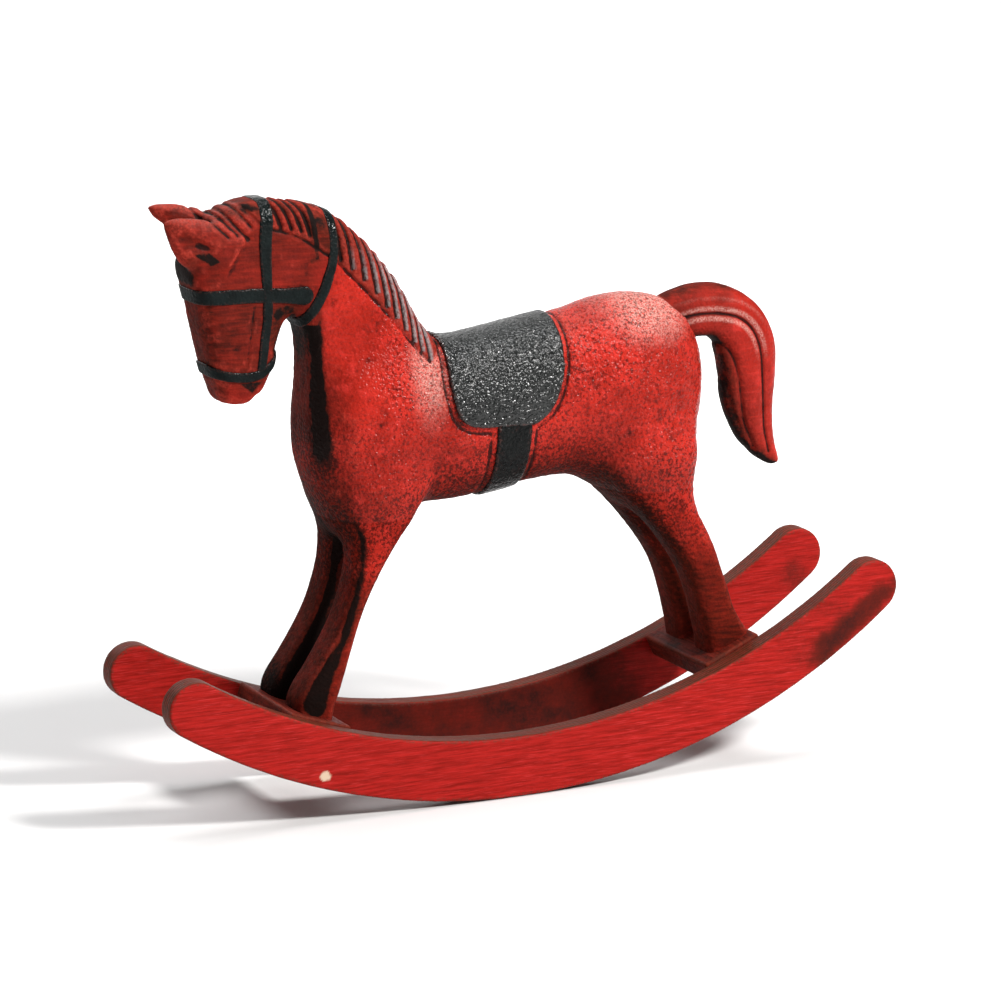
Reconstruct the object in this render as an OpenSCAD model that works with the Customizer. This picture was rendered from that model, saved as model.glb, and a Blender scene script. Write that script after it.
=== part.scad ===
// Rocking-horse mantel ornament.  Head towards -X, tail towards +X, the
// horse's left side towards -Y, +Z up.  The floor is z = 0 and the origin is
// the middle of the overall box on the floor.  Sizes in millimetres.

/* [Rockers] */
// Length between the centres of the two rounded ends
rocker_len = 280; // [240:1:300]
// Radius of the curved running edge
rocker_radius = 250.5; // [240:0.5:270]
// Depth of the worn flat that the rockers stand on, under their lowest point
worn_flat = 0.15; // [0.05:0.05:0.4]
// Height of the board at its middle
rocker_band = 23.2; // [20:0.2:26]
// How far the two edges' centres of curvature lie apart
rocker_taper = 11.9; // [6:0.1:14]
// Thickness of the plywood
rocker_t = 9; // [8:0.5:10]
// Clear gap between the two rockers
rocker_gap = 50; // [48:1:54]
// Forward lean of the horse at rest, degrees
rest_tilt = 3.2; // [2.8:0.1:3.6]

/* [Cross boards] */
// Thickness of a cross board
board_t = 9; // [7:0.5:10]
// Length of a cross board along the rocker
board_w = 25; // [23:1:28]
// Place of the front board along the rocker, degrees from its middle
board_front_angle = 21.8; // [21.4:0.1:22.2]
// Place of the rear board along the rocker, degrees from its middle
board_rear_angle = 20.3; // [20:0.1:20.8]
// How far the boards stand above the rocker's upper edge
board_proud = 1; // [0:0.25:1.5]

/* [Carving] */
// Half width of the barrel at the girth
barrel_half = 21.5; // [20:0.5:23]
// Half width of the haunches
haunch_half = 21; // [20:0.5:23]
// Half width of the shoulders
shoulder_half = 23; // [21:0.5:24]
// Half width of the neck where it meets the shoulders
neck_base_half = 18.5; // [16:0.5:19]
// Half width of the head at the cheeks
cheek_half = 12; // [10.5:0.25:12.5]
// Height of the flat joint between the barrel and the legs
leg_joint_z = 108; // [107:0.5:108.5]
// Gap between the inner faces of two legs
leg_gap = 7; // [6:0.5:8]
// Width of a leg across the horse
leg_w = 17; // [15:0.5:18]

/* [Saddle and tack] */
// Thickness of the saddle pad
saddle_t = 1.6; // [1.2:0.1:2]
// Front edge of the saddle
saddle_front = -23.5; // [-23.5:0.5:-20]
// Rear edge of the saddle
saddle_rear = 25.5; // [22:0.5:27]
// Width of the girth strap
girth_w = 14; // [11:0.5:16]
// Thickness of the girth strap
girth_t = 1.2; // [0.8:0.1:1.6]
// Width of a bridle strap
strap_w = 4.6; // [3.6:0.2:6]
// How far a bridle strap stands above the head
strap_t = 0.9; // [0.6:0.1:1.2]

/* [Fixings] */
// Radius of the leg and neck dowels
dowel_r = 3; // [2.5:0.25:3.5]
// Radius of a wood screw's shank
screw_r = 1.75; // [1.5:0.25:2]
// Radius of a wood screw's head
screw_head_r = 3.5; // [3:0.25:4]
// Radius of a panel nail
nail_r = 0.8; // [0.6:0.1:1]

/* [Hidden] */

red = [0.62, 0.07, 0.06];
dark_red = [0.42, 0.08, 0.06];
black = [0.07, 0.08, 0.09];
bare = [0.78, 0.62, 0.42];
steel = [0.6, 0.6, 0.62];

SEG = 28;              // points round a carved section
STEP = 3;              // rings between two stations

// ---------- rocker geometry, in a plane with the running arc's centre at 0
top_r = rocker_radius + rocker_taper - rocker_band;
half_a = asin(rocker_len / 2 / (rocker_radius - rocker_band / 2));
// distance from the running arc's centre to the upper edge, along a ray
function upper(a) = -rocker_taper * cos(a)
    + sqrt(pow(top_r, 2) - pow(rocker_taper * sin(a), 2));
run_r = rocker_radius + worn_flat; // the running edge before the flat is worn into it
end_r = (run_r - upper(half_a)) / 2;
end_d = (run_r + upper(half_a)) / 2;
// box of the tilted rockers, which are the longest pieces
x_lo = -end_d * sin(half_a - rest_tilt) - end_r;
x_hi = end_d * sin(half_a + rest_tilt) + end_r;
shift = -(x_lo + x_hi) / 2;
// centre of the upper edge's arc
cx = -rocker_taper * sin(rest_tilt);
cz = rocker_radius + rocker_taper * cos(rest_tilt);
front_a = rest_tilt - board_front_angle;   // angles from straight down
rear_a = rest_tilt + board_rear_angle;
// height of a board's upper face at x
function board_z(a, x) = let (r = top_r - board_proud)
    cz - r * cos(a) + tan(a) * (x - cx - r * sin(a));

// ---------- carved solids: rings between a lower line A and an upper line B
// a station is [Ax, Az, Bx, Bz, half width, middle y, squareness]
function mix4(a, b, c, d, t) = 0.5 * ((2 * b) + (c - a) * t
    + (2 * a - 5 * b + 4 * c - d) * t * t
    + (3 * b - a - 3 * c + d) * t * t * t);
function smooth(s, n) = let (m = len(s) - 1) concat(
    [for (i = [0 : m - 1]) for (j = [0 : n - 1])
        mix4(s[max(i - 1, 0)], s[i], s[i + 1], s[min(i + 2, m)], j / n)],
    [s[m]]);
function sp(v, n) = sign(v) * pow(abs(v), 2 / n);
function ring(q, seg, grow = 0) = let (
        c = [(q[0] + q[2]) / 2, (q[1] + q[3]) / 2],
        h = [(q[2] - q[0]) / 2, (q[3] - q[1]) / 2],
        k = 1 + grow / norm(h))
    [for (i = [0 : seg - 1]) let (t = 360 * (i + 0.5) / seg,
            u = sp(cos(t), q[6]), v = sp(sin(t), q[6]))
        [c[0] + h[0] * u * k, q[5] + (q[4] + grow) * v, c[1] + h[1] * u * k]];
function mid(r) = [for (k = [0 : 2]) let (v = [for (p = r) p[k]])
    v * [for (p = r) 1] / len(r)];
// skin of a pile of rings, closed at each end by a fan round its middle, or
// by a strip between the two faces of a sheet
module skin(rings, flip = false, strip = false) {
    n = len(rings);
    m = len(rings[0]);
    pts = concat([for (r = rings) for (p = r) p],
        strip ? [] : [mid(rings[0]), mid(rings[n - 1])]);
    sides = [for (i = [0 : n - 2]) for (j = [0 : m - 1])
        let (a = i * m + j, b = i * m + (j + 1) % m, c = a + m, d = b + m)
        each [[a, b, d], [a, d, c]]];
    caps = strip ? [for (j = [0 : m / 2 - 2]) let (k = m - 1 - j, o = (n - 1) * m)
        each [[j, k - 1, j + 1], [j, k, k - 1],
              [o + j, o + j + 1, o + k - 1], [o + j, o + k - 1, o + k]]]
      : [for (j = [0 : m - 1]) let (k = (j + 1) % m, o = (n - 1) * m)
        each [[n * m, k, j], [n * m + 1, o + j, o + k]]];
    all = concat(sides, caps);
    polyhedron(points = pts, convexity = 6,
        faces = flip ? [for (f = all) [f[2], f[1], f[0]]] : all);
}
// flip is for stations that climb, where A is in front of B
module carve(stations, flip = false, seg = SEG, step = STEP)
    skin([for (q = smooth(stations, step)) ring(q, seg)], flip);

// ---------- barrel: upright rings along X, cut flat at its joints
neck_a = [-72, 137];   // lower and upper end of the neck joint
neck_b = [-24, 171];
tail_a = [89, 160];    // lower and upper end of the tail's seat
tail_b = [77, 181];
function on_line(p, q, x) = p[1] + (q[1] - p[1]) * (x - p[0]) / (q[0] - p[0]);
// x, lower z, upper z, half width, squareness
barrel = [
    [-72.6, 128, 142, 8.5, 2.3], [-70, 122, 151, 13.5, 2.4],
    [-65, 108, 162, 18, 2.5], [-58, 100, 172, 21.5, 2.5],
    [-48, 98, 175, shoulder_half, 2.5], [-38, 104, 175, 22.6, 2.4],
    [-28, 108.8, 173, barrel_half, 2.2], [-14, 109.4, 170.5, barrel_half, 2.2],
    [2, 111.2, 172.5, barrel_half, 2.2], [18, 113.6, 175, barrel_half, 2.2],
    [34, 113.8, 177.5, 20.6, 2.1], [46, 108.5, 181, haunch_half, 2.1],
    [58, 100, 182, haunch_half, 2.1], [68, 96, 181, 20, 2.1],
    [76, 98, 179, 17.4, 2.1], [82, 108, 175.5, 14.8, 2],
    [87, 124, 168, 10.5, 2], [89.8, 134, 160, 6.5, 2],
    [90.8, 142, 151, 3, 2]];
function barrel_rings() = [for (q = smooth(barrel, 2))
    [for (p = ring([q[0], q[1], q[0], q[2], q[3], 0, q[4]], SEG))
        [p[0], p[1], max(leg_joint_z, min(p[2],
            p[0] < -23 ? on_line(neck_a, neck_b, p[0]) : 200,
            p[0] > 75 ? on_line(tail_a, tail_b, p[0]) : 200))]]];

// ---------- neck and head: rings that sweep round the throat
head = [
    [neck_a[0], neck_a[1], neck_b[0], neck_b[1], neck_base_half, 0, 2.4],
    [-73, 148, -29.5, 181.5, 16.8, 0, 2.5], [-73, 158, -36, 193, 15.2, 0, 2.6],
    [-73, 168, -43.5, 203, 14, 0, 2.6], [-74, 176.5, -52.5, 213, 13, 0, 2.7],
    [-76, 182, -63.5, 221.5, 12.4, 0, 2.8], [-79, 184, -77, 226, 12, 0, 2.8],
    [-82, 182, -94, 228, 11.8, 0, 2.8], [-84, 178, -109, 223.5, 12, 0, 2.8],
    [-85.4, 173, -117.5, 209, cheek_half, 0, 2.8],
    [-86.2, 168, -116.5, 194, 11.8, 0, 2.8],
    [-88, 163, -113.8, 180, 11.2, 0, 2.7],
    [-90.8, 158, -110.8, 167, 10.6, 0, 2.6],
    [-94.5, 154.8, -107.6, 158.6, 8.8, 0, 2.2],
    [-98.5, 152.8, -103.5, 154, 4.5, 0, 2]];
ear = [[-114, 208, -104, 220, 3.6, 0, 2.2], [-119, 213.5, -110, 224.2, 3.8, 0, 2.2],
    [-123.6, 219.5, -118.5, 226.4, 3, 0, 2.2],
    [-128, 225, -127.4, 226.4, 0.7, 0, 2]];

// ---------- legs, from the hoof on its board up to the joint
lw = leg_w / 2;
ly = -(leg_gap + leg_w) / 2;
function leg_front(s) = [
    [-83.5, board_z(front_a, -83.5), -68.8, board_z(front_a, -68.8), lw, s * ly, 3.6],
    [-81.5, 46, -66, 45, lw, s * ly, 3.6], [-76, 54, -63, 54, lw - 0.2, s * ly, 3.4],
    [-70.5, 62, -60.5, 62, lw - 0.4, s * ly, 3.2],
    [-66, 70, -57.5, 71, lw - 0.4, s * ly, 3.1],
    [-62.5, 79, -53.5, 80, lw - 0.2, s * ly, 3],
    [-60.5, 88, -48.5, 89, lw, s * (ly - 0.1), 2.8],
    [-60.2, 98, -42.6, 98, lw + 0.3, s * (ly - 0.2), 2.7],
    [-61.8, leg_joint_z, -35.6, leg_joint_z, lw + 0.6, s * (ly - 0.4), 2.6]];
function leg_hind(s) = [
    [88, board_z(rear_a, 88), 105.5, board_z(rear_a, 105.5), lw, s * ly, 3.6],
    [86.6, 50, 102.6, 52, lw, s * ly, 3.6], [84.8, 57, 99, 59, lw - 0.2, s * ly, 3.4],
    [82, 66, 96.6, 67, lw - 0.3, s * ly, 3.2],
    [78.6, 74, 94, 74.5, lw - 0.3, s * ly, 3.1],
    [73.6, 82, 91, 82.5, lw, s * ly, 3], [67.5, 90, 87.4, 90.5, lw + 0.3, s * (ly - 0.2), 2.8],
    [60, 98.5, 83.2, 98.5, lw + 0.8, s * (ly - 0.6), 2.6],
    [49.5, leg_joint_z, 81.6, leg_joint_z, lw + 1.4, s * (ly - 1), 2.5]];

// ---------- tail, from its seat on the rump down to the tip
tail_st = [
    [tail_a[0], tail_a[1], tail_b[0], tail_b[1], 6.8, 0, 2.3],
    [92.5, 161.6, 88, 182.4, 7, 0, 2.3], [95.8, 160, 99, 181.8, 7.2, 0, 2.3],
    [98.6, 156.5, 110, 177.6, 7.2, 0, 2.3], [100, 151, 118.5, 170, 7.2, 0, 2.3],
    [100.8, 144, 123.8, 159, 7.2, 0, 2.3], [101.8, 137, 124.5, 147, 7, 0, 2.3],
    [104.2, 129.5, 123.8, 134, 6.8, 0, 2.2], [108.6, 121, 124, 124, 6, 0, 2.2],
    [115, 114, 125.2, 117, 5, 0, 2.2], [121.5, 109.8, 126.8, 111.8, 2.8, 0, 2],
    [124.4, 108.9, 127, 109.8, 1.2, 0, 2]];

// places of the fixings
neck_mid = [-48, 0, 154];
neck_tilt = 90 - atan2(neck_b[1] - neck_a[1], neck_b[0] - neck_a[0]);
leg_x = [-50, 68];
hoof_x = [-76.2, 96.2];

module placed() translate([shift, 0, 0]) children();

module peg(p, ry, r, l) translate(p) rotate([0, ry, 0])
    cylinder(h = l, r = r, center = true, $fn = 32);

module neck_pegs() for (s = [-1, 1])
    peg([neck_mid[0] + s * 11 * sin(neck_tilt), 0, neck_mid[2] + s * 11 * cos(neck_tilt)],
        neck_tilt - 90, dowel_r + 1, 30);
module leg_pegs() for (x = leg_x, s = [-1, 1])
    peg([x, s * ly, leg_joint_z - 1], 0, dowel_r, 26);
module tail_peg() peg([83, 0, 170.5], 60.3, dowel_r, 26);
// screws up through the boards into the hooves
module screw_at(x, a) for (s = [-1, 1])
    translate([x, s * ly, board_z(a, x)]) rotate([0, -a, 0]) children();
module screws() {
    for (q = [[hoof_x[0], front_a], [hoof_x[1], rear_a]]) screw_at(q[0], q[1]) {
        translate([0, 0, -board_t]) cylinder(h = board_t + 16, r = screw_r, $fn = 32);
    }
    for (q = [[hoof_x[0], front_a], [hoof_x[1], rear_a]]) screw_at(q[0], q[1])
        translate([0, 0, -board_t]) cylinder(h = 2.4, r1 = screw_head_r, r2 = screw_r, $fn = 32);
}
module nails() for (a = [front_a, rear_a], o = [-7, 7], s = [-1, 1])
    translate([cx, 0, cz]) rotate([0, -a, 0])
        translate([o, s * (rocker_gap / 2 + rocker_t - 1), -(top_r - board_proud) - board_t / 2])
            rotate([s * 90, 0, 0]) {
                cylinder(h = 24, r = nail_r, $fn = 24);
                cylinder(h = 1, r = nail_r * 2, $fn = 24);
            }

module rocker_profile() {
    intersection() {
        difference() {
            circle(r = run_r, $fn = 240);
            translate([0, rocker_taper]) circle(r = top_r, $fn = 240);
        }
        polygon([[0, 0], [-400 * sin(half_a), -400 * cos(half_a)], [0, -500],
                 [400 * sin(half_a), -400 * cos(half_a)]]);
    }
    for (s = [-1, 1])
        translate([s * end_d * sin(half_a), -end_d * cos(half_a)])
            circle(r = end_r, $fn = 64);
}
module rocker(s) color(red) placed() difference() {
    translate([0, s * (rocker_gap + rocker_t) / 2, rocker_radius])
        rotate([0, -rest_tilt, 0]) rotate([90, 0, 0])
            linear_extrude(rocker_t, center = true) rocker_profile();
    translate([-30, -40, -5]) cube([60, 80, 5]);
    nails();
}
module rocker_left() rocker(-1);
module rocker_right() rocker(1);

module board(a) color(dark_red) placed() difference() {
    translate([cx, 0, cz]) rotate([0, -a, 0])
        translate([-board_w / 2, -rocker_gap / 2, -(top_r - board_proud) - board_t])
            cube([board_w, rocker_gap, board_t]);
    screws();
    nails();
}
module cross_board_front() board(front_a);
module cross_board_rear() board(rear_a);

module body() color(red) placed() difference() {
    skin(barrel_rings());
    neck_pegs();
    leg_pegs();
    tail_peg();
}
module head_solid() {
    carve(head, true);
    for (s = [-1, 1]) translate([0, s * 7.2, 0]) carve(ear, true, 14, 2);
}
module head_and_neck() color(dark_red) placed() difference() {
    head_solid();
    neck_pegs();
}
module leg(st) color(dark_red) placed() difference() {
    carve(st, true);
    leg_pegs();
    screws();
}
module leg_front_left() leg(leg_front(1));
module leg_front_right() leg(leg_front(-1));
module leg_hind_left() leg(leg_hind(1));
module leg_hind_right() leg(leg_hind(-1));
module tail() color(red) placed() difference() {
    carve(tail_st);
    tail_peg();
}

// ---------- saddle and girth: sheets that follow the barrel's own rings
// ring of the barrel at x, grown outwards
function barrel_at(x) = let (
        s = smooth(barrel, 6),
        i = max([for (k = [0 : len(s) - 2]) s[k][0] <= x ? k : 0]))
    s[i] + (s[i + 1] - s[i]) * (x - s[i][0]) / (s[i + 1][0] - s[i][0]);
function wrap(x, t, grow) = let (q = barrel_at(x),
        u = sp(cos(t), q[4]), v = sp(sin(t), q[4]))
    [x, (q[3] + grow) * v, (q[1] + q[2]) / 2 + ((q[2] - q[1]) / 2 + grow) * u];
// sheet between two angles round the barrel; both faces and all four edges
module sheet(xs, t0, t1, n, lo, hi) skin([for (x = xs) concat(
    [for (k = [0 : n]) wrap(x, t0(x) + (t1(x) - t0(x)) * k / n, hi)],
    [for (k = [n : -1 : 0]) wrap(x, t0(x) + (t1(x) - t0(x)) * k / n, lo)])], false, true);
// the saddle flap's lower edge is rounded towards the girth
function flap(x) = let (m = (saddle_front + saddle_rear) / 2, h = (saddle_rear - saddle_front) / 2)
    94 * pow(max(0.12, 1 - pow(abs(x - m) / (h + 0.6), 3.2)), 0.2);
module saddle() color(black) placed()
    sheet([for (k = [0 : 20]) saddle_front + (saddle_rear - saddle_front) * k / 20],
        function (x) -flap(x), function (x) flap(x), 24, 0.02, saddle_t);
girth_x = 2;
module girth_strap() color(black) placed() for (s = [0, 1]) mirror([0, s, 0])
    sheet([for (k = [0 : 4]) girth_x + girth_w * (k / 4 - 0.5)],
        function (x) flap(x) + 1, function (x) 180, 14, 0.02, girth_t);

// ---------- bridle: bands round the head, with the head taken out of them
module band(pts, w) {
    for (p = pts) translate(p) circle(d = w, $fn = 24);
    for (i = [0 : len(pts) - 2]) let (d = pts[i + 1] - pts[i])
        translate(pts[i]) rotate(atan2(d[1], d[0])) translate([0, -w / 2])
            square([norm(d), w]);
}
module slab(h) rotate([90, 0, 0]) linear_extrude(2 * h, center = true) children();
module strap(pts, w, h) difference() {
    intersection() {
        slab(h) band(pts, w);
        skin([for (q = smooth(head, STEP)) ring(q, SEG, strap_t)], true);
    }
    carve(head, true);
}
module crown_strap() color(black) placed()
    strap([[-95.5, 229], [-91.5, 215], [-90, 200], [-90, 184], [-91.8, 168]], strap_w, 14);
module brow_band() color(black) placed() difference() {
    strap([[-121, 195], [-92, 194.2], [-76, 193.6]], strap_w, 14);
    crown_cut();
}
module noseband() color(black) placed() difference() {
    strap([[-116, 169.2], [-101, 164.6], [-85, 165.9]], strap_w, 14);
    crown_cut();
}
module crown_cut() slab(15)
    band([[-95.5, 229], [-91.5, 215], [-90, 200], [-90, 184], [-91.8, 168]], strap_w);
module throat_latch() color(black) placed()
    strap([[-71.5, 226], [-66, 217], [-65.2, 205], [-70.5, 191], [-76, 182]], strap_w, 14);

module neck_dowels() color(bare) placed() neck_pegs();
module leg_dowels() color(bare) placed() leg_pegs();
module tail_dowel() color(bare) placed() tail_peg();
module hoof_screws() color(steel) placed() screws();
module rocker_nails() color(steel) placed() nails();

rocker_left();
rocker_right();
cross_board_front();
cross_board_rear();
body();
head_and_neck();
leg_front_left();
leg_front_right();
leg_hind_left();
leg_hind_right();
tail();
saddle();
girth_strap();
crown_strap();
brow_band();
noseband();
throat_latch();
neck_dowels();
leg_dowels();
tail_dowel();
hoof_screws();
rocker_nails();
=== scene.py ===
import bpy
import bmesh
import math
import numpy as np
import openvdb as vdb
from mathutils import Vector, Matrix


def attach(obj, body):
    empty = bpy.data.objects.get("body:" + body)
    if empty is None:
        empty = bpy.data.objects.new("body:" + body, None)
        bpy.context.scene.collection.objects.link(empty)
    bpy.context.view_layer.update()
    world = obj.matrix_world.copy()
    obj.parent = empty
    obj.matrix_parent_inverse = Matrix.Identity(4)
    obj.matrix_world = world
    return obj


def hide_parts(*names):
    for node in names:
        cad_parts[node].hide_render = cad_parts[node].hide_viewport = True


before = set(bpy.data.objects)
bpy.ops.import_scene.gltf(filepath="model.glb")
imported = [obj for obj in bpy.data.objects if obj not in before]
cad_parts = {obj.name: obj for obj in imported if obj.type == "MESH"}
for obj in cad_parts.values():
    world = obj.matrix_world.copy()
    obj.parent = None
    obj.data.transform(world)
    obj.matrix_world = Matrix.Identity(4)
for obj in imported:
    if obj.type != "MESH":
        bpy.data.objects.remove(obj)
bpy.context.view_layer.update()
SH = -10.8547          # the rockers touch the floor at this x (mm); shapes below are measured from there

# ------------------------------------------------------------------ camera
AZ, EL = 0.45120, 0.22562
D_ = Vector((math.cos(EL) * math.sin(AZ), math.cos(EL) * math.cos(AZ), -math.sin(EL)))
cam_data = bpy.data.cameras.new("camera")
cam = bpy.data.objects.new("camera", cam_data)
bpy.context.scene.collection.objects.link(cam)
cam.location = Vector(((8.111 + SH) / 1000, 0, 0.10575)) - D_ * 1.72109
cam.rotation_euler = D_.to_track_quat("-Z", "Y").to_euler()
cam_data.sensor_width = 36
cam_data.lens = 4571.47 / 1001 * 36
cam_data.clip_start = 0.05
cam_data.clip_end = 50
cam_data.dof.use_dof = False
bpy.context.scene.camera = cam


# ------------------------------------------------------------------ small numeric tools
def smooth(st, n):
    st = np.array(st, float)
    m = len(st) - 1
    out = []
    for i in range(m):
        a, b, c, d = st[max(i - 1, 0)], st[i], st[i + 1], st[min(i + 2, m)]
        for j in range(n):
            t = j / n
            out.append(0.5 * (2 * b + (c - a) * t + (2 * a - 5 * b + 4 * c - d) * t * t
                              + (3 * b - a - 3 * c + d) * t ** 3))
    out.append(st[m])
    return np.array(out)


def spow(v, n):
    return np.sign(v) * np.abs(v) ** (2 / n)


def loft(st, step=8, seg=80, mirror=False):
    """Closed mesh through stations [Ax, Az, Bx, Bz, half width, middle y, squareness]."""
    q = smooth(st, step)
    t = 2 * np.pi * (np.arange(seg) + 0.5) / seg
    u = spow(np.cos(t)[None], q[:, 6:7])
    v = spow(np.sin(t)[None], q[:, 6:7])
    x = (q[:, 0:1] + q[:, 2:3]) / 2 + (q[:, 2:3] - q[:, 0:1]) / 2 * u
    z = (q[:, 1:2] + q[:, 3:4]) / 2 + (q[:, 3:4] - q[:, 1:2]) / 2 * u
    y = q[:, 5:6] + q[:, 4:5] * v
    if mirror:
        y = -y
    R = np.stack([x, y, z], -1)
    n, m = R.shape[:2]
    pts = np.concatenate([R.reshape(-1, 3), R[0].mean(0)[None], R[-1].mean(0)[None]])
    i, j = np.meshgrid(np.arange(n - 1), np.arange(m), indexing="ij")
    a = i * m + j
    b = i * m + (j + 1) % m
    quads = np.stack([a, b, b + m, a + m], -1).reshape(-1, 4)
    k = np.arange(m)
    k2 = (k + 1) % m
    o = (n - 1) * m
    tris = np.concatenate([np.stack([np.full(m, n * m), k2, k], -1),
                           np.stack([np.full(m, n * m + 1), o + k, o + k2], -1)])
    return pts, quads, tris


class Grid:
    def __init__(self, lo, hi, h):
        self.lo = np.array(lo, float)
        self.h = h
        self.n = np.ceil((np.array(hi, float) - self.lo) / h).astype(int) + 1
        ax = [self.lo[k] + h * np.arange(self.n[k]) for k in range(3)]
        self.x = ax[0].astype(np.float32)[:, None, None]
        self.y = ax[1].astype(np.float32)[None, :, None]
        self.z = ax[2].astype(np.float32)[None, None, :]
        self.PX, self.PZ = np.meshgrid(ax[0], ax[2], indexing="ij")

    def flat(self, a):
        """A map over x and z, spread across y."""
        return a.astype(np.float32)[:, None, :]


def solid(G, mesh, band=7.0):
    """Signed distance in mm from a closed mesh, negative inside."""
    pts, quads, tris = mesh
    p = ((pts - G.lo) / G.h).astype(np.float32)
    w = band / G.h
    g = vdb.FloatGrid.createLevelSetFromPolygons(
        p, triangles=tris.astype(np.uint32), quads=quads.astype(np.uint32),
        transform=vdb.createLinearTransform(1.0), exBandWidth=w, inBandWidth=w)
    out = np.full(tuple(G.n), w, np.float32)
    g.copyToArray(out)
    return out * np.float32(G.h)


def step(a, b, v):
    t = np.clip((v - a) / (b - a), 0, 1)
    return t * t * (3 - 2 * t)


def smin(a, b, k):
    h = np.clip(0.5 + 0.5 * (b - a) / k, 0, 1)
    return b + (a - b) * h - k * h * (1 - h)


def smax(a, b, k):
    return -smin(-a, -b, k)


def line_dist(px, pz, pts, widths=None):
    """Distance from each point to a polyline, with the line's half width taken off where given."""
    best = None
    pts = np.array(pts, float)
    for i in range(len(pts) - 1):
        a, b = pts[i], pts[i + 1]
        ab = b - a
        t = np.clip(((px - a[0]) * ab[0] + (pz - a[1]) * ab[1]) / max(ab @ ab, 1e-9), 0, 1)
        d = np.hypot(px - a[0] - t * ab[0], pz - a[1] - t * ab[1])
        if widths is not None:
            d = d - (widths[i] + (widths[i + 1] - widths[i]) * t)
        best = d if best is None else np.minimum(best, d)
    return best


def curve(pts, n=8):
    return smooth(np.array(pts, float), n)


def area_dist(px, pz, poly):
    """Signed distance to a closed outline, negative inside."""
    poly = np.array(poly, float)
    d = line_dist(px, pz, np.vstack([poly, poly[:1]]))
    inside = np.zeros(px.shape, bool)
    n = len(poly)
    for i in range(n):
        (x1, z1), (x2, z2) = poly[i], poly[(i + 1) % n]
        c = (z1 > pz) != (z2 > pz)
        with np.errstate(divide="ignore", invalid="ignore"):
            xi = (x2 - x1) * (pz - z1) / (z2 - z1 + 1e-12) + x1
        inside ^= c & (px < xi)
    return np.where(inside, -d, d)


_lat = {}


def vnoise(P, size, seed=0):
    """Smooth value noise, about -1 to 1, at points P (mm), with features of the given size."""
    if seed not in _lat:
        _lat[seed] = np.random.default_rng(seed).uniform(-1, 1, (48, 48, 48)).astype(np.float32)
    L = _lat[seed]
    q = np.asarray(P) / size + 100.37 + seed * 7.13
    i = np.floor(q).astype(int)
    f = (q - i).astype(np.float32)
    f = f * f * (3 - 2 * f)
    i %= 48
    j = (i + 1) % 48
    out = 0
    for a in (0, 1):
        for b in (0, 1):
            for c in (0, 1):
                w = ((f[..., 0] if a else 1 - f[..., 0]) * (f[..., 1] if b else 1 - f[..., 1])
                     * (f[..., 2] if c else 1 - f[..., 2]))
                out = out + w * L[(j if a else i)[..., 0], (j if b else i)[..., 1], (j if c else i)[..., 2]]
    return out


def fbm(P, size, seed=0, octaves=3):
    s, a, t = 0, 1, 0
    for k in range(octaves):
        s = s + a * vnoise(P, size / 2 ** k, seed + k)
        t += a
        a *= 0.55
    return s / t


def surface(G, f):
    """Points (mm) and quads of a field's zero surface."""
    f = f.copy()
    for k in range(3):           # closed at the grid's own edges
        sl = [slice(None)] * 3
        for e in (0, -1):
            sl[k] = e
            f[tuple(sl)] = np.maximum(f[tuple(sl)], 0.5 * G.h)
    bg = float(4 * G.h)
    g = vdb.FloatGrid(bg)
    g.copyFromArray(np.clip(f, -bg, bg).astype(np.float32), tolerance=0.0)
    pts, tris, quads = g.convertToPolygons(isovalue=0.0, adaptivity=0.0)
    pts = pts.astype(float) * G.h + G.lo
    if quads.size == 0:
        quads, tris = tris, quads
    if quads.shape[1] == 3:
        quads, tris = tris, quads
    return pts, quads.astype(int), tris.astype(int)


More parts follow.
